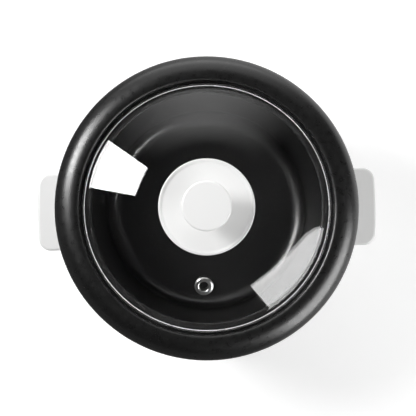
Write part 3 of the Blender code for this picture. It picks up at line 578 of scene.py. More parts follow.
@dataclass(frozen=True)
class Finish:
    """What a piece is made of, as one procedural material.

    The colour drifts between two close tones over coarse noise, the roughness over finer noise,
    and a fine noise raises the surface a little.
    """

    name: str
    slot: Slot
    tone: Colour
    drift: float = 0.04
    roughness: float = 0.4
    roughness_drift: float = 0.05
    metallic: float = 0.0
    grain: float = 900.0
    grain_depth: float = 0.00001
    drift_scale: float = 18.0
    roughness_scale: float = 60.0

    def material(self) -> bpy.types.Material:
        """Makes the material the first time that it is asked for.

        Returns:
            The material.
        """
        found = bpy.data.materials.get(self.name)
        if found:
            return found
        sheet = Sheet(self.name)
        self.dress(sheet)
        return sheet.made

    def dress(self, sheet: Sheet) -> None:
        """Fills the sheet with this finish's colour, roughness and grain.

        Args:
            sheet: The sheet of the new material.
        """
        darker = tuple(c * (1 - self.drift) for c in self.tone)
        drift = sheet.ranged(sheet.noise(self.drift_scale), 0.0, 1.0, 0.1, 0.9)
        colour = sheet.blend(drift, darker, self.tone)
        sheet.join(colour, sheet.shader.inputs["Base Color"])
        low, high = self.roughness - self.roughness_drift, self.roughness + self.roughness_drift
        rough = sheet.ranged(sheet.noise(self.roughness_scale), low, high, 0.1, 0.9)
        sheet.join(rough, sheet.shader.inputs["Roughness"])
        sheet.set(Metallic=self.metallic)
        sheet.bump(sheet.noise(self.grain), self.grain_depth)


@dataclass(frozen=True)
class Glaze(Finish):
    """Black satin stoneware glaze: fine sandy pimples, faint waves and small pale specks."""

    speck: Colour = (0.022, 0.0215, 0.021)
    pimple: float = 950.0
    pimple_depth: float = 0.00005
    speck_range: tuple[float, float] = (0.62, 0.74)
    mottle: float = 220.0
    wave: float = 60.0
    wave_depth: float = 0.00002
    index: float = 1.6

    def dress(self, sheet: Sheet) -> None:
        """Adds the pimples, the specks and the slow waves of a sprayed glaze.

        Args:
            sheet: The sheet of the new material.
        """
        pimples = sheet.noise(self.pimple, 2.0)
        specks = sheet.ranged(pimples, 0.0, 1.0, *self.speck_range)
        colour = sheet.blend(specks, self.tone, self.speck)
        sheet.join(colour, sheet.shader.inputs["Base Color"])
        low, high = self.roughness - self.roughness_drift, self.roughness + self.roughness_drift
        rough = sheet.ranged(sheet.noise(self.mottle, 4.0), low, high)
        sheet.join(rough, sheet.shader.inputs["Roughness"])
        sheet.set(IOR=self.index)
        sheet.bump(sheet.noise(self.wave, 2.0), self.wave_depth)
        sheet.bump(pimples, self.pimple_depth)


@dataclass(frozen=True)
class Glass(Finish):
    """Clear tempered glass that lets lamps light what is under it."""

    passed: Colour = (0.90, 0.90, 0.90)
    index: float = 1.5
    smear: float = 14.0
    smear_stretch: tuple[float, float, float] = (1.0, 2.5, 1.0)

    def dress(self, sheet: Sheet) -> None:
        """Clear shader with faint smears, and plain see-through for the rays from lamps.

        Args:
            sheet: The sheet of the new material.
        """
        sheet.set(Base_Color=(*self.tone, 1.0), Transmission_Weight=1.0, IOR=self.index)
        cloud = sheet.noise(self.smear, 5.0, self.smear_stretch)
        smears = sheet.ranged(cloud, 0.0, self.roughness, 0.5, 0.8)
        sheet.join(smears, sheet.shader.inputs["Roughness"])
        clear = sheet.node("ShaderNodeBsdfTransparent")
        clear.inputs["Color"].default_value = (*self.passed, 1.0)
        sheet.instead("Is Shadow Ray", clear.outputs["BSDF"])


@dataclass(frozen=True)
class GroundGlass(Finish):
    """The finely ground edge of tempered glass, which holds light and looks pale grey."""

    body: float = 0.45
    index: float = 1.5

    def dress(self, sheet: Sheet) -> None:
        """Lets part of the light through a shader that has a fine grinding grain.

        Args:
            sheet: The sheet of the new material.
        """
        super().dress(sheet)
        sheet.set(Transmission_Weight=1.0 - self.body, IOR=self.index)


@dataclass(frozen=True)
class SpunMetal(Finish):
    """Metal drawn or turned round Z: fine rings, with scratches that follow them."""

    rings: float = 2600.0
    ring_depth: float = 0.00001

    def dress(self, sheet: Sheet) -> None:
        """Adds rings by the distance from the axis and by height.

        Args:
            sheet: The sheet of the new material.
        """
        super().dress(sheet)
        apart = sheet.apart(sheet.place)
        flat = sheet.node("ShaderNodeCombineXYZ")
        sheet.join(apart["X"], flat.inputs["X"])
        sheet.join(apart["Y"], flat.inputs["Y"])
        away = sheet.node("ShaderNodeVectorMath", operation="LENGTH")
        sheet.join(flat.outputs["Vector"], away.inputs[0])
        both = sheet.node("ShaderNodeMath", operation="ADD")
        sheet.join(away.outputs["Value"], both.inputs[0])
        sheet.join(apart["Z"], both.inputs[1])
        line = sheet.node("ShaderNodeTexNoise", noise_dimensions="1D")
        line.inputs["Scale"].default_value = self.rings
        sheet.join(both.outputs["Value"], line.inputs["W"])
        sheet.bump(line.outputs["Fac"], self.ring_depth)


@dataclass(frozen=True)
class MicaBoard(Finish):
    """Pressed mica board: flakes of two browns with flat facets."""

    flake: float = 420.0
    shade: float = 0.72

    def dress(self, sheet: Sheet) -> None:
        """Adds the flakes as cells of slightly different tone.

        Args:
            sheet: The sheet of the new material.
        """
        super().dress(sheet)
        cells = sheet.node("ShaderNodeTexVoronoi")
        cells.inputs["Scale"].default_value = self.flake
        sheet.join(sheet.place, cells.inputs["Vector"])
        apart = sheet.node("ShaderNodeSeparateColor")
        sheet.join(cells.outputs["Color"], apart.inputs["Color"])
        darker = tuple(c * self.shade for c in self.tone)
        colour = sheet.blend(apart.outputs["Red"], darker, self.tone)
        sheet.join(colour, sheet.shader.inputs["Base Color"])


@dataclass(frozen=True)
class Paper(Finish):
    """The studio's pale paper, which glows a little by itself.

    Glossy surfaces see a glow in place of it that rises along one direction from one place to
    another: from sheen[0] at sheen_reach[0] to sheen[1] at sheen_reach[1].
    """

    glow: float = 0.245
    sheen: tuple[float, float] = (0.12, 1.0)
    sheen_reach: tuple[float, float] = (-0.10, 0.30)
    sheen_angle: float = 30.0

    def dress(self, sheet: Sheet) -> None:
        """Adds the glow, and the other glow that glossy surfaces see.

        Args:
            sheet: The sheet of the new material.
        """
        super().dress(sheet)
        sheet.set(Emission_Color=(1, 1, 1, 1), Emission_Strength=self.glow)
        angle = math.radians(self.sheen_angle)
        along = sheet.node("ShaderNodeVectorMath", operation="DOT_PRODUCT")
        along.inputs[1].default_value = (math.cos(angle), math.sin(angle), 0)
        sheet.join(sheet.place, along.inputs[0])
        rising = sheet.ranged(along.outputs["Value"], *self.sheen, *self.sheen_reach)
        dim = sheet.node("ShaderNodeEmission")
        sheet.join(rising, dim.inputs["Strength"])
        sheet.instead("Is Glossy Ray", dim.outputs["Emission"])


GROUND_GLASS = GroundGlass("ground glass edge", Slot.GLASS, (0.91, 0.91, 0.91), 0.0, 0.28, 0.04)
WHITE_PAINT = Finish("white enamel", Slot.PAINT, (0.72, 0.72, 0.715), 0.015, 0.24, 0.03, grain=500.0)
WHITE_PLASTIC = Finish("white moulded plastic", Slot.PLASTIC, (0.80, 0.80, 0.795), 0.006, 0.30, 0.03)
INNER_GLAZE = Glaze(
    "black gloss glaze", Slot.GLAZE, (0.004, 0.004, 0.004), 0.0, 0.30, 0.015,
    pimple=420.0, pimple_depth=0.0000015, wave_depth=0.000004, index=1.65,
)
BLACK_GLAZE = Glaze("black satin glaze", Slot.GLAZE, (0.006, 0.006, 0.006), 0.0, 0.30, 0.04)
CLEAR_GLASS = Glass("clear glass", Slot.GLASS, (0.98, 0.98, 0.98), 0.0, 0.006)
STEEL = SpunMetal("bright steel", Slot.STEEL, (0.66, 0.66, 0.65), 0.06, 0.30, 0.05, 1.0)
ALUMINIUM = SpunMetal("drawn aluminium", Slot.ALUMINIUM, (0.70, 0.70, 0.70), 0.06, 0.34, 0.06, 1.0)
BRASS = SpunMetal("turned brass", Slot.BRASS, (0.75, 0.58, 0.28), 0.06, 0.26, 0.05, 1.0)
RUBBER = Finish("black rubber", Slot.RUBBER, (0.022, 0.022, 0.022), 0.15, 0.72, 0.06, grain_depth=0.00004)
SILICONE = Finish("milky silicone", Slot.SILICONE, (0.72, 0.72, 0.70), 0.04, 0.55, 0.06)
MICA = MicaBoard("mica board", Slot.MICA, (0.55, 0.48, 0.36), 0.1, 0.62, 0.08)
CERAMIC = Finish("bare ceramic", Slot.CERAMIC, (0.80, 0.78, 0.72), 0.05, 0.55, 0.06)
BLACK_PLASTIC = Finish("black moulded plastic", Slot.BLACK_PLASTIC, (0.018, 0.018, 0.018), 0.1, 0.42, 0.06)
BROWN_WIRE = Finish("brown insulation", Slot.BROWN_WIRE, (0.16, 0.06, 0.02), 0.1, 0.45, 0.05)
BLUE_WIRE = Finish("blue insulation", Slot.BLUE_WIRE, (0.02, 0.09, 0.40), 0.1, 0.45, 0.05)
GREEN_WIRE = Finish("green insulation", Slot.GREEN_WIRE, (0.05, 0.30, 0.06), 0.1, 0.45, 0.05)
PALE_PAPER = Paper("pale paper", Slot.PAINT, (0.93, 0.93, 0.93), 0.01, 0.9, 0.02, grain_depth=0.00002)
GREY_MARK = Finish("grey print", Slot.PLASTIC, (0.16, 0.16, 0.165), 0.03, 0.5, 0.04)
CAD_FINISHES = {
    f.slot.value: f
    for f in (
        WHITE_PAINT, WHITE_PLASTIC, BLACK_GLAZE, CLEAR_GLASS, STEEL, ALUMINIUM, BRASS, RUBBER,
        SILICONE, MICA, CERAMIC, BLACK_PLASTIC, BROWN_WIRE, BLUE_WIRE, GREEN_WIRE,
    )
}


# Sub-assemblies


@dataclass
class Crock:
    """The stoneware crock with its rolled rim and the ledge that holds the lid."""

    rim_radius: float
    rim_top: float
    bottom: float
    crown: float = 0.0182
    roll: float = 0.0160
    inner_roll: float = 0.0016
    edge_round: float = 0.0030
    rim_height: float = 0.0192
    ledge_drop: float = 0.0087
    lid_recess: float = 0.0222
    ledge_width: float = 0.0111
    taper: float = 0.0055
    floor_fillet: float = 0.014
    wall: float = 0.0065
    lip_wall: float = 0.0073
    heel_tuck: float = 0.0007
    heel_round: float = 0.0160
    foot_ring_inset: float = 0.022
    foot_ring_slope: float = 0.002
    dish_depth: float = 0.0015
    joint: float = 0.0001

    @classmethod
    def from_frame(cls) -> "Crock":
        """The crock in the size of its CAD node."""
        return cls(node_radius("crock"), node_top("crock"), node_low("crock"))

    @property
    def ledge(self) -> float:
        """Height of the ledge that the lid rests on."""
        return self.rim_top - self.ledge_drop

    @property
    def step(self) -> float:
        """Radius of the upright wall round the lid."""
        return self.rim_radius - self.lid_recess

    def profile(self) -> Array:
        """Section of the crock: floor, fillet, wall, ledge, step, rolled rim, outer wall, foot.

        The rim is two quarter ellipses that meet at its crest, one down to the step and a broad
        one out to the widest circle.

        Returns:
            Rows of (radius, height).
        """
        mouth = self.step - self.ledge_width
        floor_radius, floor = mouth - self.taper, self.bottom + self.wall
        crest, rim_bottom = self.rim_radius - self.crown, self.rim_top - self.rim_height
        foot_ring, dish = floor_radius - self.foot_ring_inset, self.bottom + self.dish_depth
        inner = rounded(
            [
                (0.0, floor, 0), (floor_radius, floor, self.floor_fillet),
                (mouth, self.ledge, 0.0020), (self.step, self.ledge, 0.0006),
                (self.step, self.rim_top - self.inner_roll - self.joint, 0),
            ],
            12, False,
        )
        inner_size, outer_size = (crest - self.step, self.inner_roll), (self.crown, self.roll)
        inwards = (crest, self.rim_top - self.inner_roll) + inner_size * arc((0, 0), 1, 180, 92, 16)
        roll = (crest, self.rim_top - self.roll) + outer_size * arc((0, 0), 1, 88, 0, 56)
        outer = rounded(
            [
                (self.rim_radius, self.rim_top - self.roll - self.joint, 0),
                (self.rim_radius, rim_bottom, self.edge_round - 2 * self.joint),
                (mouth + self.lip_wall, rim_bottom, 0.0020),
                (floor_radius + self.wall - self.heel_tuck, self.bottom, self.heel_round),
                (foot_ring, self.bottom, 0.0008), (foot_ring - self.foot_ring_slope, dish, 0.0008),
                (0.0, dish, 0),
            ],
            12, False,
        )
        return np.concatenate([inner, inwards, roll, outer])

    def build(self) -> None:
        """Shows the crock, with the glossier glaze on its inside up to the ledge."""
        mesh = turned("stoneware_crock", self.profile(), 256)
        made = piece(mesh, Body.CROCK, BLACK_GLAZE, ("crock",))
        centres, normals = face_places(made.data)
        away = np.hypot(*centres[:, :2].T)
        inwards = np.sum(centres[:, :2] * normals[:, :2], 1) <= 0
        floor = (away < self.step - self.ledge_width) & (normals[:, 2] > 0)
        below = centres[:, 2] < self.ledge + self.joint
        finish_faces(made, INNER_GLAZE, below & (floor | inwards & (normals[:, 2] > -0.2)))


@dataclass
class Lid:
    """The domed glass lid with its vent eyelet, white skirt and knob."""

    radius: float
    base: float
    skirt_radius: float
    knob_radius: float
    rim_width: float = 0.0043
    thickness: float = 0.004
    sphere: float = 0.229
    hole: float = 0.0036
    edge_round: float = 0.0019
    skirt_rise: float = 0.0046
    skirt_lip: float = 0.0016
    knob_rise: float = 0.034
    knob_neck: float = 0.0115
    vent_place: float = 0.0655
    vent_angle: float = -93.0
    vent_hole: float = 0.0050
    arris: tuple[float, float] = (0.0016, 0.0023)
    ground: float = 0.0003

    @classmethod
    def from_frame(cls) -> "Lid":
        """The lid in the size of its CAD nodes."""
        glass, skirt, knob = (node_radius(node) for node in ("lid_glass", "knob_skirt", "lid_knob"))
        return cls(glass, node_low("lid_glass"), skirt, knob)

    @property
    def flange(self) -> float:
        """Radius at which the dome meets the flat rim."""
        return self.radius - self.rim_width

    def height(self, radius: Array | float, drop: float = 0.0) -> Array:
        """Height of the dome, or of the sphere drop inside it: centre plus root of R squared less r squared.

        Args:
            radius: r, the distance from the axis.
            drop: How much smaller than the dome's own radius R is.

        Returns:
            The height.
        """
        centre = self.base + self.thickness - math.sqrt(self.sphere**2 - self.flange**2)
        return centre + np.sqrt((self.sphere - drop) ** 2 - np.asarray(radius) ** 2)

    def vent_frame(self) -> Matrix:
        """Stands a shape made along Z on the glass at the vent, square to the dome.

        Returns:
            The matrix that takes the shape there.
        """
        lean = Matrix.Rotation(math.asin(self.vent_place / self.sphere), 4, "Y")
        spin = Matrix.Rotation(math.radians(self.vent_angle), 4, "Z")
        height = float(self.height(self.vent_place))
        return spin @ Matrix.Translation((self.vent_place, 0, height)) @ lean

    def glass_profile(self) -> Array:
        """Section of the glass: dome, shoulder, flat rim, ground round edge, and back underneath.

        The underside is the sphere one thickness inside the dome's, and is eased by the eighth
        power of the share of its radius to the height of the rim's flat underside.

        Returns:
            Rows of (radius, height).
        """
        top = self.base + self.thickness
        r = np.linspace(self.hole, self.flange - 0.0012, 70)
        over = np.stack([r, self.height(r)], 1)
        shoulder = rounded(
            [(*over[-1], 0), (self.flange, top, 0.0060), (self.radius - 0.0015, top, 0)], 8, False
        )
        edge = arc((self.radius - self.edge_round, self.base + 0.0021), self.edge_round, 90, -90, 14)
        inner = self.flange - 0.0015
        r = np.linspace(inner - 0.0012, self.hole, 60)
        shift = self.base - float(self.height(inner, self.thickness))
        fade = np.clip(r / inner, 0, 1) ** 8
        under = np.stack([r, self.height(r, self.thickness) + shift * fade], 1)
        back = rounded(
            [(self.radius - 0.0020, self.base, 0), (inner, self.base, 0.0050), (*under[0], 0)], 8, False
        )
        return np.concatenate([over[:-1], shoulder, edge, back[1:], under[1:]])

    def glass(self) -> None:
        """The glass, with a bright arris round its flat rim, and the vent's hole bored through it."""
        mesh = turned("lid_glass_fine", self.glass_profile(), 256)
        made = piece(mesh, Body.LID, CLEAR_GLASS, ("lid_glass",))
        away = np.hypot(*face_places(mesh)[0][:, :2].T)
        narrow, wide = self.arris
        arris = (away > self.radius - wide) & (away < self.radius - narrow)
        finish_faces(made, GROUND_GLASS, (away > self.radius - self.ground) | arris)
        reach, hole = 0.01, self.vent_hole
        drill = turned("vent_drill", np.array([(0, -reach), (hole, -reach), (hole, reach), (0, reach)]), 64)
        drill.transform(self.vent_frame())
        bore(made, drill)

    def eyelet(self) -> None:
        """The steel vent eyelet: rolled flange above, tube through the glass, rolled edge below."""
        low = -self.thickness - 0.0005
        corners = [
            (0.0036, -0.0004, 0.0008), (0.0044, 0.0019, 0.0008), (0.0068, 0.0017, 0.0012),
            (0.0078, 0.0007, 0.0004), (0.0078, GAP, 0.0001), (0.0046, GAP, 0),
            (0.0046, low, 0), (0.0062, low, 0.0002), (0.0056, low - 0.0013, 0.0005),
            (0.0037, low - 0.0014, 0.0003), (0.0034, low, 0.0003), (0.0034, -0.0015, 0.0006),
        ]
        mesh = turned("vent_eyelet_fine", rounded(corners, 6), 96)
        mesh.transform(self.vent_frame())
        piece(mesh, Body.LID, STEEL, ("vent_eyelet",))

    def floor(self) -> float:
        """Height of the skirt's dish."""
        return float(self.height(0.0)) + self.skirt_rise

    def skirt(self) -> None:
        """The white skirt: a shallow dish with a raised rounded lip and a hub under the knob."""
        r, floor = self.skirt_radius, self.floor()
        lip = floor + self.skirt_lip
        low = float(self.height(r)) + 0.0004
        seat = float(self.height(0.0)) + 0.0018
        corners = [
            (0.0024, floor + 0.0020, 0), (0.0140, floor + 0.0020, 0.0008), (0.0185, floor, 0.0050),
            (r - 0.0034, floor + 0.0003, 0.0020), (r - 0.0018, lip - 0.0001, 0.0007),
            (r - 0.0002, lip, 0.0008), (r, lip - 0.0014, 0.0008), (r - 0.0006, low, 0.0006),
            (r - 0.0030, low + 0.0004, 0.0006), (r - 0.0036, floor - 0.0022, 0.0008),
            (0.0128, floor - 0.0022, 0.0006), (0.0122, seat, 0.0003), (0.0024, seat, 0),
        ]
        mesh = turned("knob_skirt_fine", rounded(corners, 8))
        piece(mesh, Body.LID, WHITE_PLASTIC, ("knob_skirt",))

    def knob(self) -> None:
        """The mushroom knob: flat top, small edge fillet, waisted stem that flares to the hub."""
        floor = self.floor()
        top, seat, r, neck = floor + self.knob_rise, floor + 0.0023, self.knob_radius, self.knob_neck
        corners = [
            (0.0, top, 0), (r, top, 0.0018), (r - 0.0004, top - 0.0075, 0.0045),
            (neck + 0.0006, top - 0.0190, 0.0110), (neck, seat + 0.0060, 0.0070),
            (0.0139, seat, 0.0008), (0.0043, seat, 0.0002),
            (0.0043, seat + 0.0180, 0), (0.0, seat + 0.0180, 0),
        ]
        mesh = turned("lid_knob_fine", rounded(corners, 12))
        piece(mesh, Body.LID, WHITE_PLASTIC, ("lid_knob",))

    def build(self) -> None:
        """Shows the lid."""
        self.glass()
        self.eyelet()
        self.skirt()
        self.knob()


def face_places(mesh: bpy.types.Mesh) -> tuple[Array, Array]:
    """The middle and the normal of each face.

    Args:
        mesh: The mesh.

    Returns:
        Both, with one row a face.
    """
    centres, normals = np.zeros((2, len(mesh.polygons) * 3))
    mesh.polygons.foreach_get("center", centres)
    mesh.polygons.foreach_get("normal", normals)
    return centres.reshape(-1, 3), normals.reshape(-1, 3)


def finish_faces(target: bpy.types.Object, finish: Finish, chosen: Array) -> None:
    """Gives the chosen faces a second finish.

    Args:
        target: The piece.
        finish: What those faces are made of.
        chosen: True for each face that takes it.
    """
    target.data.materials.append(finish.material())
    target.data.polygons.foreach_set("material_index", chosen.astype(np.int32))


def bore(target: bpy.types.Object, drill: bpy.types.Mesh) -> None:
    """Cuts the drill's shape from the target and keeps the result as its mesh.

    Args:
        target: The piece.
        drill: The closed shape that is cut away.
    """
    helper = added("drill", drill)
    step = target.modifiers.new("bore", "BOOLEAN")
    step.solver = "EXACT"
    step.object = helper
    bpy.context.view_layer.update()
    graph = bpy.context.evaluated_depsgraph_get()
    result = bpy.data.meshes.new_from_object(target.evaluated_get(graph))
    target.modifiers.clear()
    target.data = result
    result.shade_smooth()
    result.set_sharp_from_angle(angle=SHARP_ANGLE)
    bpy.data.objects.remove(helper, do_unlink=True)


@dataclass
class Housing:
    """The painted shell, the aluminium liner, the rubber feet and the cord gland."""

    top_radius: float
    bottom: float
    lip: float
    liner_bottom: float
    liner_flange: float
    liner_flange_radius: float
    rubber_radius: float
    rubber_circle: float
    gland_flange: float
    gland_height: float
    foot_radius: float = 0.112
    foot: float = 0.0145
    shoulder: float = 0.134
    thickness: float = 0.0012
    opening: float = 0.101
    lip_radius: float = 0.112
    liner_sheet: float = 0.0012
    liner_floor_radius: float = 0.0985
    liner_mouth_radius: float = 0.1062
    rubber_height: float = 0.0102
    rubber_neck: float = 0.0032
    rubber_barb: float = 0.0046
    rubber_seat: float = 0.0120
    gland_bore: float = 0.0037
    gland_body: float = 0.0060

    @classmethod
    def from_frame(cls) -> "Housing":
        """The housing in the size of its CAD nodes."""
        return cls(
            node_radius("housing_shell"), node_low("housing_shell"), node_top("housing_shell"),
            node_low("heating_liner"), node_top("heating_liner"), node_radius("heating_liner"),
            node_size("foot_1")[0] / 2, math.hypot(*node_middle("foot_1")[:2]),
            node_radius("cord_gland"), node_middle("cord_gland")[2],
        )

    def radius(self, height: Array | float) -> Array:
        """Radius of the tapered wall at this height, on a straight line from foot to shoulder."""
        share = (np.asarray(height) - self.foot) / (self.shoulder - self.foot)
        return self.foot_radius + (self.top_radius - self.foot_radius) * share

    def shell(self) -> None:
        """The shell: rolled bottom edge, tapered wall, rounded shoulder and inward lip."""
        t, lip, top = self.thickness, self.lip, self.top_radius
        corners = [
            (self.opening, self.bottom, 0), (self.foot_radius, self.bottom, 0.0030),
            (self.foot_radius, self.foot, 0.0010), (top, self.shoulder, 0.0040), (top, lip, 0.0036),
            (self.lip_radius, lip, 0), (self.lip_radius, lip - t, 0), (top - t, lip - t, 0.0026),
            (top - t, self.shoulder, 0.0040), (self.foot_radius - t, self.foot, 0.0010),
            (self.foot_radius - t, self.bottom + t, 0.0018), (self.opening, self.bottom + t, 0),
        ]
        mesh = turned("housing_shell_fine", rounded(corners, 8), 256)
        piece(mesh, Body.BASE, WHITE_PAINT, ("housing_shell",))

    def liner(self) -> None:
        """The drawn aluminium liner with its flange."""
        bottom, flange, t = self.liner_bottom, self.liner_flange, self.liner_sheet
        under, floor, mouth, edge = (
            flange - t, self.liner_floor_radius, self.liner_mouth_radius, self.liner_flange_radius
        )
        corners = [
            (0.0, bottom + t, 0), (floor, bottom + t, 0.0148), (mouth, flange, 0.0030),
            (edge, flange, 0.0004), (edge, under, 0.0002), (mouth + t, under, 0.0018),
            (floor + t, bottom, 0.0160), (0.0, bottom, 0),
        ]
        mesh = turned("heating_liner_fine", rounded(corners, 8))
        piece(mesh, Body.BASE, ALUMINIUM, ("heating_liner",))

    def feet(self) -> None:
        """The four rubber feet, each with its neck and barb through the base plate."""
        r, h, neck, barb, seat = (
            self.rubber_radius, self.rubber_height, self.rubber_neck, self.rubber_barb, self.rubber_seat
        )
        corners = [
            (0.0, 0.0, 0), (r - 0.0010, 0.0, 0.0010), (r, h, 0.0008), (neck, h, 0),
            (neck, seat, 0), (barb, seat, 0.0003), (barb, seat + 0.0007, 0.0003),
            (neck - 0.0010, seat + 0.0032, 0.0006), (0.0, seat + 0.0032, 0),
        ]
        for number, degrees in enumerate((45, 135, 225, 315), 1):
            angle = math.radians(degrees)
            mesh = turned(f"rubber_foot_{number}", rounded(corners, 6), 64)
            away = (self.rubber_circle * math.cos(angle), self.rubber_circle * math.sin(angle), 0)
            mesh.transform(Matrix.Translation(away))
            piece(mesh, Body.BASE, RUBBER, (f"foot_{number}",))

    def gland(self) -> None:
        """The cord entry's flanged bush at the back."""
        wall = float(self.radius(self.gland_height))
        seat, inner = wall + 0.0010, wall - 0.0125
        hole, body, flange = self.gland_bore, self.gland_body, self.gland_flange
        corners = [
            (hole, inner, 0.0004), (body, inner, 0.0004), (body, seat, 0), (flange, seat, 0.0004),
            (flange - 0.0008, seat + 0.003, 0.0010), (hole + 0.0010, seat + 0.003, 0.0008),
            (hole, seat + 0.001, 0.0010),
        ]
        mesh = turned("cord_gland_fine", rounded(corners, 6), 64)
        mesh.transform(Matrix.Translation((0, 0, self.gland_height)) @ pointing(90))
        piece(mesh, Body.BASE, BLACK_PLASTIC, ("cord_gland",))

    def build(self) -> None:
        """Shows the housing."""
        self.shell()
        self.liner()
        self.feet()
        self.gland()


def pointing(degrees: float) -> Matrix:
    """Lays a shape made along +Z on its side, towards this horizontal angle."""
    return Matrix.Rotation(math.radians(degrees), 4, "Z") @ Matrix.Rotation(math.pi / 2, 4, "Y")


@dataclass
class Handle:
    """A hollow moulded carrying handle with its finger recess open below."""

    housing: Housing
    end: float
    width: float
    top: float
    height: float
    corner: float = 0.010
    bow: float = 0.0015
    edge: float = 0.0024
    lower_edge: float = 0.0012
    recess_edge: float = 0.0008
    roof_edge: float = 0.0018
    wall: float = 0.0035
    middle: float = 0.125
    back: float = 0.1225

    @classmethod
    def from_frame(cls, housing: Housing) -> "Handle":
        """The handle in the size of its CAD node."""
        low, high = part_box("handle_right")
        return cls(housing, high[0], high[1] - low[1], high[2], high[2] - low[2])

    def outer(self, inset: float, height: float) -> Array:
        """The outline at this height: rounded outer corners, bowed outer side, back on the shell.

        The outer side is drawn in by the bow times the square of the distance from the middle,
        and the back lies on the housing: x is the root of its radius squared less y squared.

        Args:
            inset: How far the outline is drawn in, for the edge fillets.
            height: The height of the ring.

        Returns:
            Array of (x, y, z) rows.
        """
        half, middle = self.width / 2, self.middle
        x, y = outline(middle, self.end - inset, half - inset, self.corner - inset * 0.6).T
        share = np.clip((x - middle) / (self.end - middle), 0, 1)
        x = x - self.bow * (y / half) ** 2 * share
        # The left half of the outline slides back to the shell, with square corners there.
        left = x < middle + self.corner
        y = np.where(left & (np.abs(y) > half - inset - self.corner), np.sign(y) * (half - inset), y)
        shell = np.sqrt((float(self.housing.radius(height)) + GAP) ** 2 - y**2)
        pull = np.clip((middle + self.corner - x) / self.corner, 0, 1)
        x = x + (shell - x) * np.where(left, np.minimum(1.0, pull * 1.02), 0.0)
        return np.stack([x, y, np.full_like(x, height)], 1)

    def recess(self, inset: float, height: float) -> Array:
        """The finger recess's outline at this height.

        Args:
            inset: How far the outline is drawn out into the handle's wall.
            height: The height of the ring.

        Returns:
            Array of (x, y, z) rows.
        """
        reach = self.end - self.wall - self.bow
        half = self.width / 2 - self.wall
        x, y = outline(self.back - inset, reach + inset, half + inset, self.corner - self.wall).T
        return np.stack([x, y, np.full_like(x, height)], 1)

    def rings(self) -> Array:
        """Rings from the top over the edge, down the wall, and up into the recess.

        Returns:
            Array of rings, corners and (x, y, z).
        """
        low, top, roof = self.top - self.height, self.top, self.top - self.wall
        e, small, mouth, inner = self.edge, self.lower_edge, self.recess_edge, self.roof_edge
        out = [self.outer(e + 0.0006, top)]
        out += [self.outer(inset, top - drop) for inset, drop in bend(e, 90, 0, 10)]
        out += [self.outer(0.0, top - e - 0.0004), self.outer(0.0, low + small + 0.0004)]
        out += [self.outer(inset, low + drop) for inset, drop in bend(small, 0, 90, 6)]
        out += [self.recess(mouth - inset, low + drop) for inset, drop in bend(mouth, 90, 0, 5)]
        out += [self.recess(0.0, roof - inner - 0.0002)]
        out += [self.recess(-inset, roof - drop) for inset, drop in bend(inner, 0, 90, 5)]
        out += [self.recess(-inner - 0.0008, roof)]
        return np.array(out)

    def build(self) -> None:
        """Shows both handles."""
        rings = self.rings()
        piece(lofted("carry_handle_right", rings), Body.BASE, WHITE_PLASTIC, ("handle_right",))
        turned_round = rings * np.array([-1.0, -1.0, 1.0])
        piece(lofted("carry_handle_left", turned_round), Body.BASE, WHITE_PLASTIC, ("handle_left",))


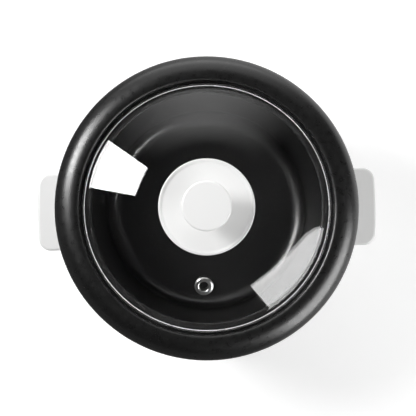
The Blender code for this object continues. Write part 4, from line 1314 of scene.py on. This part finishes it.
@dataclass
class Control:
    """The control panel on the front of the housing, its marks, and the heat dial."""

    housing: Housing
    height: float
    width: float
    low: float
    high: float
    dial_back: float
    dial_depth: float
    corner: float = 0.008
    thickness: float = 0.003
    panel_edge: float = 0.0011
    dial_radius: float = 0.016
    grip_width: float = 0.007
    grip_height: float = 0.0035
    grip_edge: float = 0.0009
    rest_turn: float = 67.5
    step_turn: float = 45.0
    mark_circle: float = 0.0212
    digit_size: float = 0.0052
    print_depth: float = 0.00004
    wave_length: float = 0.0034
    wave_depth: float = 0.00035
    wave_pitch: float = 0.0013
    wave_half_width: float = 0.00024

    @classmethod
    def from_frame(cls, housing: Housing) -> "Control":
        """The panel and the dial in the size of their CAD nodes.

        Args:
            housing: The housing that they sit on.

        Returns:
            The control.
        """
        panel, dial = "control_panel", "control_knob"
        height, back = node_middle(dial)[2], -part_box(dial)[1][1]
        width, depth = node_size(panel)[0], node_size(dial)[1]
        return cls(housing, height, width, node_low(panel), node_top(panel), back, depth)

    def on_shell(self, across: Array, height: Array, lift: Array | float) -> Array:
        """Wraps a flat shape round the front: across is the arc's sideways reach, lift is outwards.

        x is across, y is minus the root of the radius at that height plus the lift, squared, less
        x squared.
        """
        radius = self.housing.radius(height) + GAP + lift
        return np.stack([across, -np.sqrt(radius**2 - across**2), height], -1)

    def panel(self) -> None:
        """The panel: rings of its rounded outline, filleted at the edge and filled to its middle."""
        e, t = self.panel_edge, self.thickness
        steps = [(0.0, 0.0), (0.0, t - e - 0.0003)]
        steps += [(inset, t - drop) for inset, drop in bend(e, 0, 90, 8)]
        rings = [self.panel_ring(inset, lift, 1.0) for inset, lift in steps]
        rings += [self.panel_ring(e + 0.0004, t, size) for size in np.linspace(1, 0.02, 26)]
        back = [self.panel_ring(0.0, 0.0, size) for size in np.linspace(0.02, 0.98, 24)]
        mesh = lofted("control_panel_fine", np.array(back + rings))
        piece(mesh, Body.BASE, WHITE_PLASTIC, ("control_panel",))

    def panel_ring(self, inset: float, lift: float, size: float) -> Array:
        """One ring of the panel.

        Args:
            inset: How far the panel's outline is drawn in.
            lift: How far the ring stands off the shell.
            size: How far it is scaled towards its middle.

        Returns:
            Array of (x, y, z) rows.
        """
        middle, half = (self.low + self.high) / 2, (self.high - self.low) / 2
        side = self.width / 2 - inset
        across, height = outline(-side, side, half - inset, self.corner - inset).T
        return self.on_shell(across * size, middle + height * size, lift)

    def marks(self) -> None:
        """The printed settings round the dial: 0, 1, 2 and a keep-warm sign of three wavy lines."""
        for index, text in enumerate(("0", "1", "2")):
            self.mark(f"setting_{text}", self.text_points(text), self.setting_angle(index))
        share = np.linspace(0, 1, 25)
        for index in range(3):
            across = self.wave_depth * np.sin(share * 2 * math.pi) + (index - 1) * self.wave_pitch
            middle = np.stack([across, (share - 0.5) * self.wave_length], 1)
            shape = self.stroke(middle, self.wave_half_width)
            self.mark(f"keep_warm_{index + 1}", shape, self.setting_angle(3))

    def setting_angle(self, index: int) -> float:
        """Angle of a setting from the top of the dial's circle, in radians."""
        return math.radians(self.step_turn * index - self.rest_turn)

    def text_points(self, text: str) -> Outline:
        """A digit as a thin flat shape.

        Args:
            text: The digit.

        Returns:
            Its (across, up, out) corners and its faces.
        """
        curve = bpy.data.curves.new(text, "FONT")
        curve.body = text
        curve.size = self.digit_size
        curve.align_x = "CENTER"
        curve.align_y = "CENTER"
        curve.extrude = self.print_depth
        helper = added("text", curve)
        bpy.context.view_layer.update()
        graph = bpy.context.evaluated_depsgraph_get()
        mesh = bpy.data.meshes.new_from_object(helper.evaluated_get(graph))
        points = np.zeros(len(mesh.vertices) * 3)
        mesh.vertices.foreach_get("co", points)
        faces = [tuple(f.vertices) for f in mesh.polygons]
        bpy.data.objects.remove(helper, do_unlink=True)
        bpy.data.meshes.remove(mesh)
        return points.reshape(-1, 3), faces

    def stroke(self, middle: Array, half: float) -> Outline:
        """A thin bar along a line, with a front, a back and its sides.

        Args:
            middle: The line's (across, up) points.
            half: Half the bar's width.

        Returns:
            Its (across, up, out) corners and its faces.
        """
        along = np.gradient(middle, axis=0)
        along /= np.hypot(*along.T)[:, None]
        side = np.stack([-along[:, 1], along[:, 0]], 1) * half
        rim = np.concatenate([middle + side, (middle - side)[::-1]])
        n = len(rim)
        out = (-self.print_depth, self.print_depth)
        points = np.concatenate([np.column_stack([rim, np.full(n, z)]) for z in out])
        i = np.arange(n // 2 - 1)
        front = np.stack([i, n - 1 - i, n - 2 - i, i + 1], 1) + n
        rear = (front - n)[:, ::-1]
        j = np.arange(n)
        sides = np.stack([j, j + n, (j + 1) % n + n, (j + 1) % n], 1)
        return points, [tuple(face) for face in np.concatenate([front, rear, sides]).tolist()]

    def mark(self, name: str, shape: Outline, angle: float) -> None:
        """Prints a flat shape on the panel.

        Args:
            name: The mark's name.
            shape: Its corners and faces.
            angle: Its angle from the top of the dial's circle, in radians.
        """
        points, faces = shape
        across = points[:, 0] + self.mark_circle * math.sin(angle)
        height = points[:, 1] + self.height + self.mark_circle * math.cos(angle)
        placed = self.on_shell(across, height, self.thickness + 0.00006 + points[:, 2])
        mesh = bpy.data.meshes.new(name)
        mesh.from_pydata(placed.tolist(), [], faces)
        mesh.validate()
        piece(mesh, Body.BASE, GREY_MARK)

    def dial_place(self) -> Matrix:
        """Turns a shape made round -Y to the dial's rest angle, and lifts it to the dial."""
        turn = Matrix.Rotation(math.radians(-self.rest_turn), 4, "Y")
        return Matrix.Translation((0, 0, self.height)) @ turn

    def dial(self) -> None:
        """The round body of the dial."""
        r, back = self.dial_radius, self.dial_back
        face = back + self.dial_depth - self.grip_height
        corners = [
            (0.0, face - 0.0003, 0), (r - 0.0026, face, 0.0008), (r - 0.0008, face - 0.0006, 0.0012),
            (r, back, 0.0005), (0.0086, back, 0.0004), (0.0086, back + 0.0038, 0.0003),
            (0.0033, back + 0.0038, 0), (0.0033, face - 0.0014, 0), (0.0, face - 0.0014, 0),
        ]
        mesh = turned("heat_dial", rounded(corners, 8), 128)
        mesh.transform(self.dial_place() @ pointing(-90))
        piece(mesh, Body.DIAL, WHITE_PLASTIC, ("control_knob",))

    def grip(self) -> None:
        """The dial's raised grip, and the inlaid pointer line on its end."""
        half, reach, e = self.grip_width / 2, self.dial_radius - 0.0016, self.grip_edge
        top = self.dial_back + self.dial_depth
        face = top - self.grip_height
        steps = [(-0.0006, face - 0.0008), (-0.0002, face + 0.0006), (0.0, face + 0.0012)]
        steps += [(inset, top - drop) for inset, drop in bend(e, 0, 90, 8)]
        steps += [(e + 0.0003, top)]
        rings = []
        for inset, away in steps:
            x, z = outline(-half + inset, half - inset, reach - inset, half - 0.0004 - inset).T
            rings.append(np.stack([x, np.full_like(x, -away), z], 1))
        mesh = lofted("dial_grip", np.array(rings))
        mesh.transform(self.dial_place())
        piece(mesh, Body.DIAL, WHITE_PLASTIC)
        x, z = outline(-0.0006, 0.0006, 0.0036, 0.00055).T
        rings = [
            np.stack([x * size, np.full_like(x, -away), z * size + reach - 0.0054], 1)
            for size, away in ((1.0, top - 0.0004), (1.0, top + 0.00006), (0.9, top + 0.0001))
        ]
        mesh = lofted("dial_pointer", np.array(rings))
        mesh.transform(self.dial_place())
        piece(mesh, Body.DIAL, GREY_MARK)

    def build(self) -> None:
        """Shows the panel, its marks and the dial."""
        self.panel()
        self.marks()
        self.dial()
        self.grip()


# Studio


def facing(azimuth: float) -> tuple[Array, Array]:
    """The level directions out to an azimuth, and sideways to it.

    Args:
        azimuth: Degrees anticlockwise from +X.

    Returns:
        Both directions, the second anticlockwise of the first.
    """
    angle = math.radians(azimuth)
    out = np.array((math.cos(angle), math.sin(angle), 0.0))
    return out, np.array((-math.sin(angle), math.cos(angle), 0.0))


@dataclass(frozen=True)
class Softbox:
    """An upright rectangular lamp that faces the centre line.

    A glossy one shows in glossy surfaces only, and another one lights matt surfaces only.
    """

    name: str
    azimuth: float
    away: float
    low: float
    high: float
    width: float
    radiance: float
    glossy: bool

    def build(self) -> None:
        """Adds the lamp; its power is pi times its area times its radiance."""
        lamp = bpy.data.lights.new(self.name, "AREA")
        lamp.shape = "RECTANGLE"
        lamp.size = self.width
        lamp.size_y = self.high - self.low
        lamp.energy = self.radiance * math.pi * self.width * (self.high - self.low)
        made = added(self.name, lamp)
        out, _ = facing(self.azimuth)
        made.location = (self.away * out[0], self.away * out[1], (self.low + self.high) / 2)
        made.rotation_euler = Vector(-out).to_track_quat("-Z", "Y").to_euler()
        made.visible_glossy = made.visible_transmission = self.glossy
        made.visible_diffuse = not self.glossy


@dataclass(frozen=True)
class Card:
    """An upright glowing card that shows in glossy surfaces only.

    Its corners are pairs of (sideways, height), sideways being anticlockwise.
    """

    name: str
    azimuth: float
    away: float
    radiance: float
    corners: Pairs

    def build(self) -> None:
        """Adds the card."""
        out, side = facing(self.azimuth)
        across, height = np.array(self.corners).T[:, :, None]
        points = self.away * out + across * side + height * np.array((0.0, 0.0, 1.0))
        mesh = store(self.name, points, np.arange(len(points))[None])
        glow = bpy.data.materials.new(self.name)
        glow.use_nodes = True
        tree = Tree(glow.node_tree)
        lit = tree.node("ShaderNodeEmission")
        lit.inputs["Strength"].default_value = self.radiance
        tree.join(lit.outputs["Emission"], tree.tree.nodes["Material Output"].inputs["Surface"])
        mesh.materials.append(glow)
        made = added(self.name, mesh)
        made.visible_camera = made.visible_diffuse = made.visible_shadow = False


KEY_SOFTBOX = Softbox("key_softbox", 155.6, 1.0, 0.62, 1.56, 0.43, 14.8, False)
SIDE_SOFTBOX = Softbox("side_softbox", -34.0, 1.05, 0.25, 1.29, 1.00, 2.4, False)
SIDE_CARD = Card(
    "side_card", SIDE_SOFTBOX.azimuth, 1.04, 7.3,
    ((-0.53, 1.38), (0.20, 1.10), (0.36, 1.02), (0.45, 0.91), (0.48, 0.83), (0.50, 0.25), (-0.41, 0.25)),
)


@dataclass
class Studio:
    """A pale floor, two lamps with the cards that show in glossy surfaces, and the room round them."""

    floor_size: float = 6.0
    floor_drop: float = 0.0001
    lights: tuple[Softbox | Card, ...] = (
        KEY_SOFTBOX, replace(KEY_SOFTBOX, name="key_card", away=0.99, radiance=21.0, glossy=True),
        SIDE_SOFTBOX, SIDE_CARD,
    )
    fill: float = 0.30
    backdrop: Colour = (0.92, 0.92, 0.92)
    wall_turn: float = 0.6
    wall_stops: Pairs = ((0.0, 2.8), (0.20, 2.2), (0.34, 1.4), (0.743, 1.15), (0.857, 0.05), (1.0, 0.0))
    room_stops: Pairs = ((0.0, 0.18), (0.15, 0.10), (0.40, 0.02), (1.0, 0.004))
    camera_target: tuple[float, float, float] = (0.0011, -0.00040, 0.162)
    camera_height: float = 1.0
    camera_tilt: float = 1.3
    camera_roll: float = 1.04
    view_width: float = 0.3500
    film_width: float = 36.0

    def floor(self) -> None:
        """The floor, a large square just under the feet."""
        half = self.floor_size / 2
        points = np.array([(-half, -half, 0), (half, -half, 0), (half, half, 0), (-half, half, 0)])
        mesh = store("floor", points - (0, 0, self.floor_drop), np.array([[0, 1, 2, 3]]))
        made = added("floor", mesh)
        mesh.materials.append(PALE_PAPER.material())

    def room(self) -> None:
        """The dark room: a white wall far behind, dim near the horizon elsewhere, black overhead.

        The wall's share is the square of how far a direction's horizontal part turns to +Y past
        wall_turn, times a ramp over its height. Rays from the camera see plain pale grey, and matt
        surfaces get an even fill from all round on top.
        """
        world = bpy.data.worlds.new("room")
        bpy.context.scene.world = world
        world.use_nodes = True
        sky = Tree(world.node_tree)
        where = sky.node("ShaderNodeTexCoord").outputs["Generated"]
        flat = sky.node("ShaderNodeVectorMath", operation="MULTIPLY")
        flat.inputs[1].default_value = (1, 1, 0)
        sky.join(where, flat.inputs[0])
        level = sky.vector("NORMALIZE", flat.outputs["Vector"])
        share = sky.ranged(sky.apart(level)["Y"], 0.0, 1.0, self.wall_turn, 1.0)
        squared = sky.node("ShaderNodeMath", operation="POWER")
        squared.inputs[1].default_value = 2.0
        sky.join(share, squared.inputs[0])
        height = sky.apart(where)["Z"]
        wall = sky.node("ShaderNodeVectorMath", operation="SCALE")
        sky.join(sky.ramp(height, self.wall_stops), wall.inputs[0])
        sky.join(squared.outputs["Value"], wall.inputs["Scale"])
        both = sky.vector("ADD", wall.outputs["Vector"], sky.ramp(height, self.room_stops))
        ray = sky.node("ShaderNodeLightPath")
        seen = sky.node("ShaderNodeMix", data_type="RGBA")
        first, second = [socket for socket in seen.inputs if socket.type == "RGBA"]
        second.default_value = (*self.backdrop, 1)
        sky.join(ray.outputs["Is Camera Ray"], seen.inputs[0])
        sky.join(both, first)
        mixed = next(socket for socket in seen.outputs if socket.type == "RGBA")
        soft = sky.node("ShaderNodeMath", operation="MULTIPLY")
        soft.inputs[1].default_value = self.fill
        sky.join(ray.outputs["Is Diffuse Ray"], soft.inputs[0])
        total = sky.vector("ADD", mixed, soft.outputs["Value"])
        sky.join(total, sky.tree.nodes["Background"].inputs["Color"])

    def camera(self) -> None:
        """The camera, almost straight above the rim and turned a little about its own axis."""
        data = bpy.data.cameras.new("camera")
        data.sensor_width = self.film_width
        data.lens = self.film_width * self.camera_height / self.view_width
        made = added("camera", data)
        target = Vector(self.camera_target)
        tilt, roll = math.radians(self.camera_tilt), math.radians(self.camera_roll)
        turn = Matrix.Rotation(-roll, 4, "Z") @ Matrix.Rotation(tilt, 4, "X")
        back = turn.to_3x3() @ Vector((0, 0, 1))
        made.matrix_world = Matrix.Translation(target + back * self.camera_height) @ turn
        bpy.context.scene.camera = made

    def build(self) -> None:
        """Sets up the studio."""
        self.floor()
        for light in self.lights:
            light.build()
        self.room()
        self.camera()
        bpy.context.scene.view_settings.view_transform = "Standard"


def dress_cad_nodes() -> None:
    """Gives every CAD node that still shows the procedural finish of its slot."""
    slots = {row["node"]: row.get("material_slot") for row in frame["record"]["subparts"]}
    for name, node in frame["nodes"].items():
        finish = CAD_FINISHES[slots[name]]
        node.data.materials.clear()
        node.data.materials.append(finish.material())


def main() -> None:
    """Builds the cooker from the crock out, then the studio."""
    logging.basicConfig(level=logging.INFO, format="%(name)s: %(message)s")
    dress_cad_nodes()
    Crock.from_frame().build()
    Lid.from_frame().build()
    housing = Housing.from_frame()
    housing.build()
    Handle.from_frame(housing).build()
    Control.from_frame(housing).build()
    Studio().build()


if __name__ == "__main__":
    main()
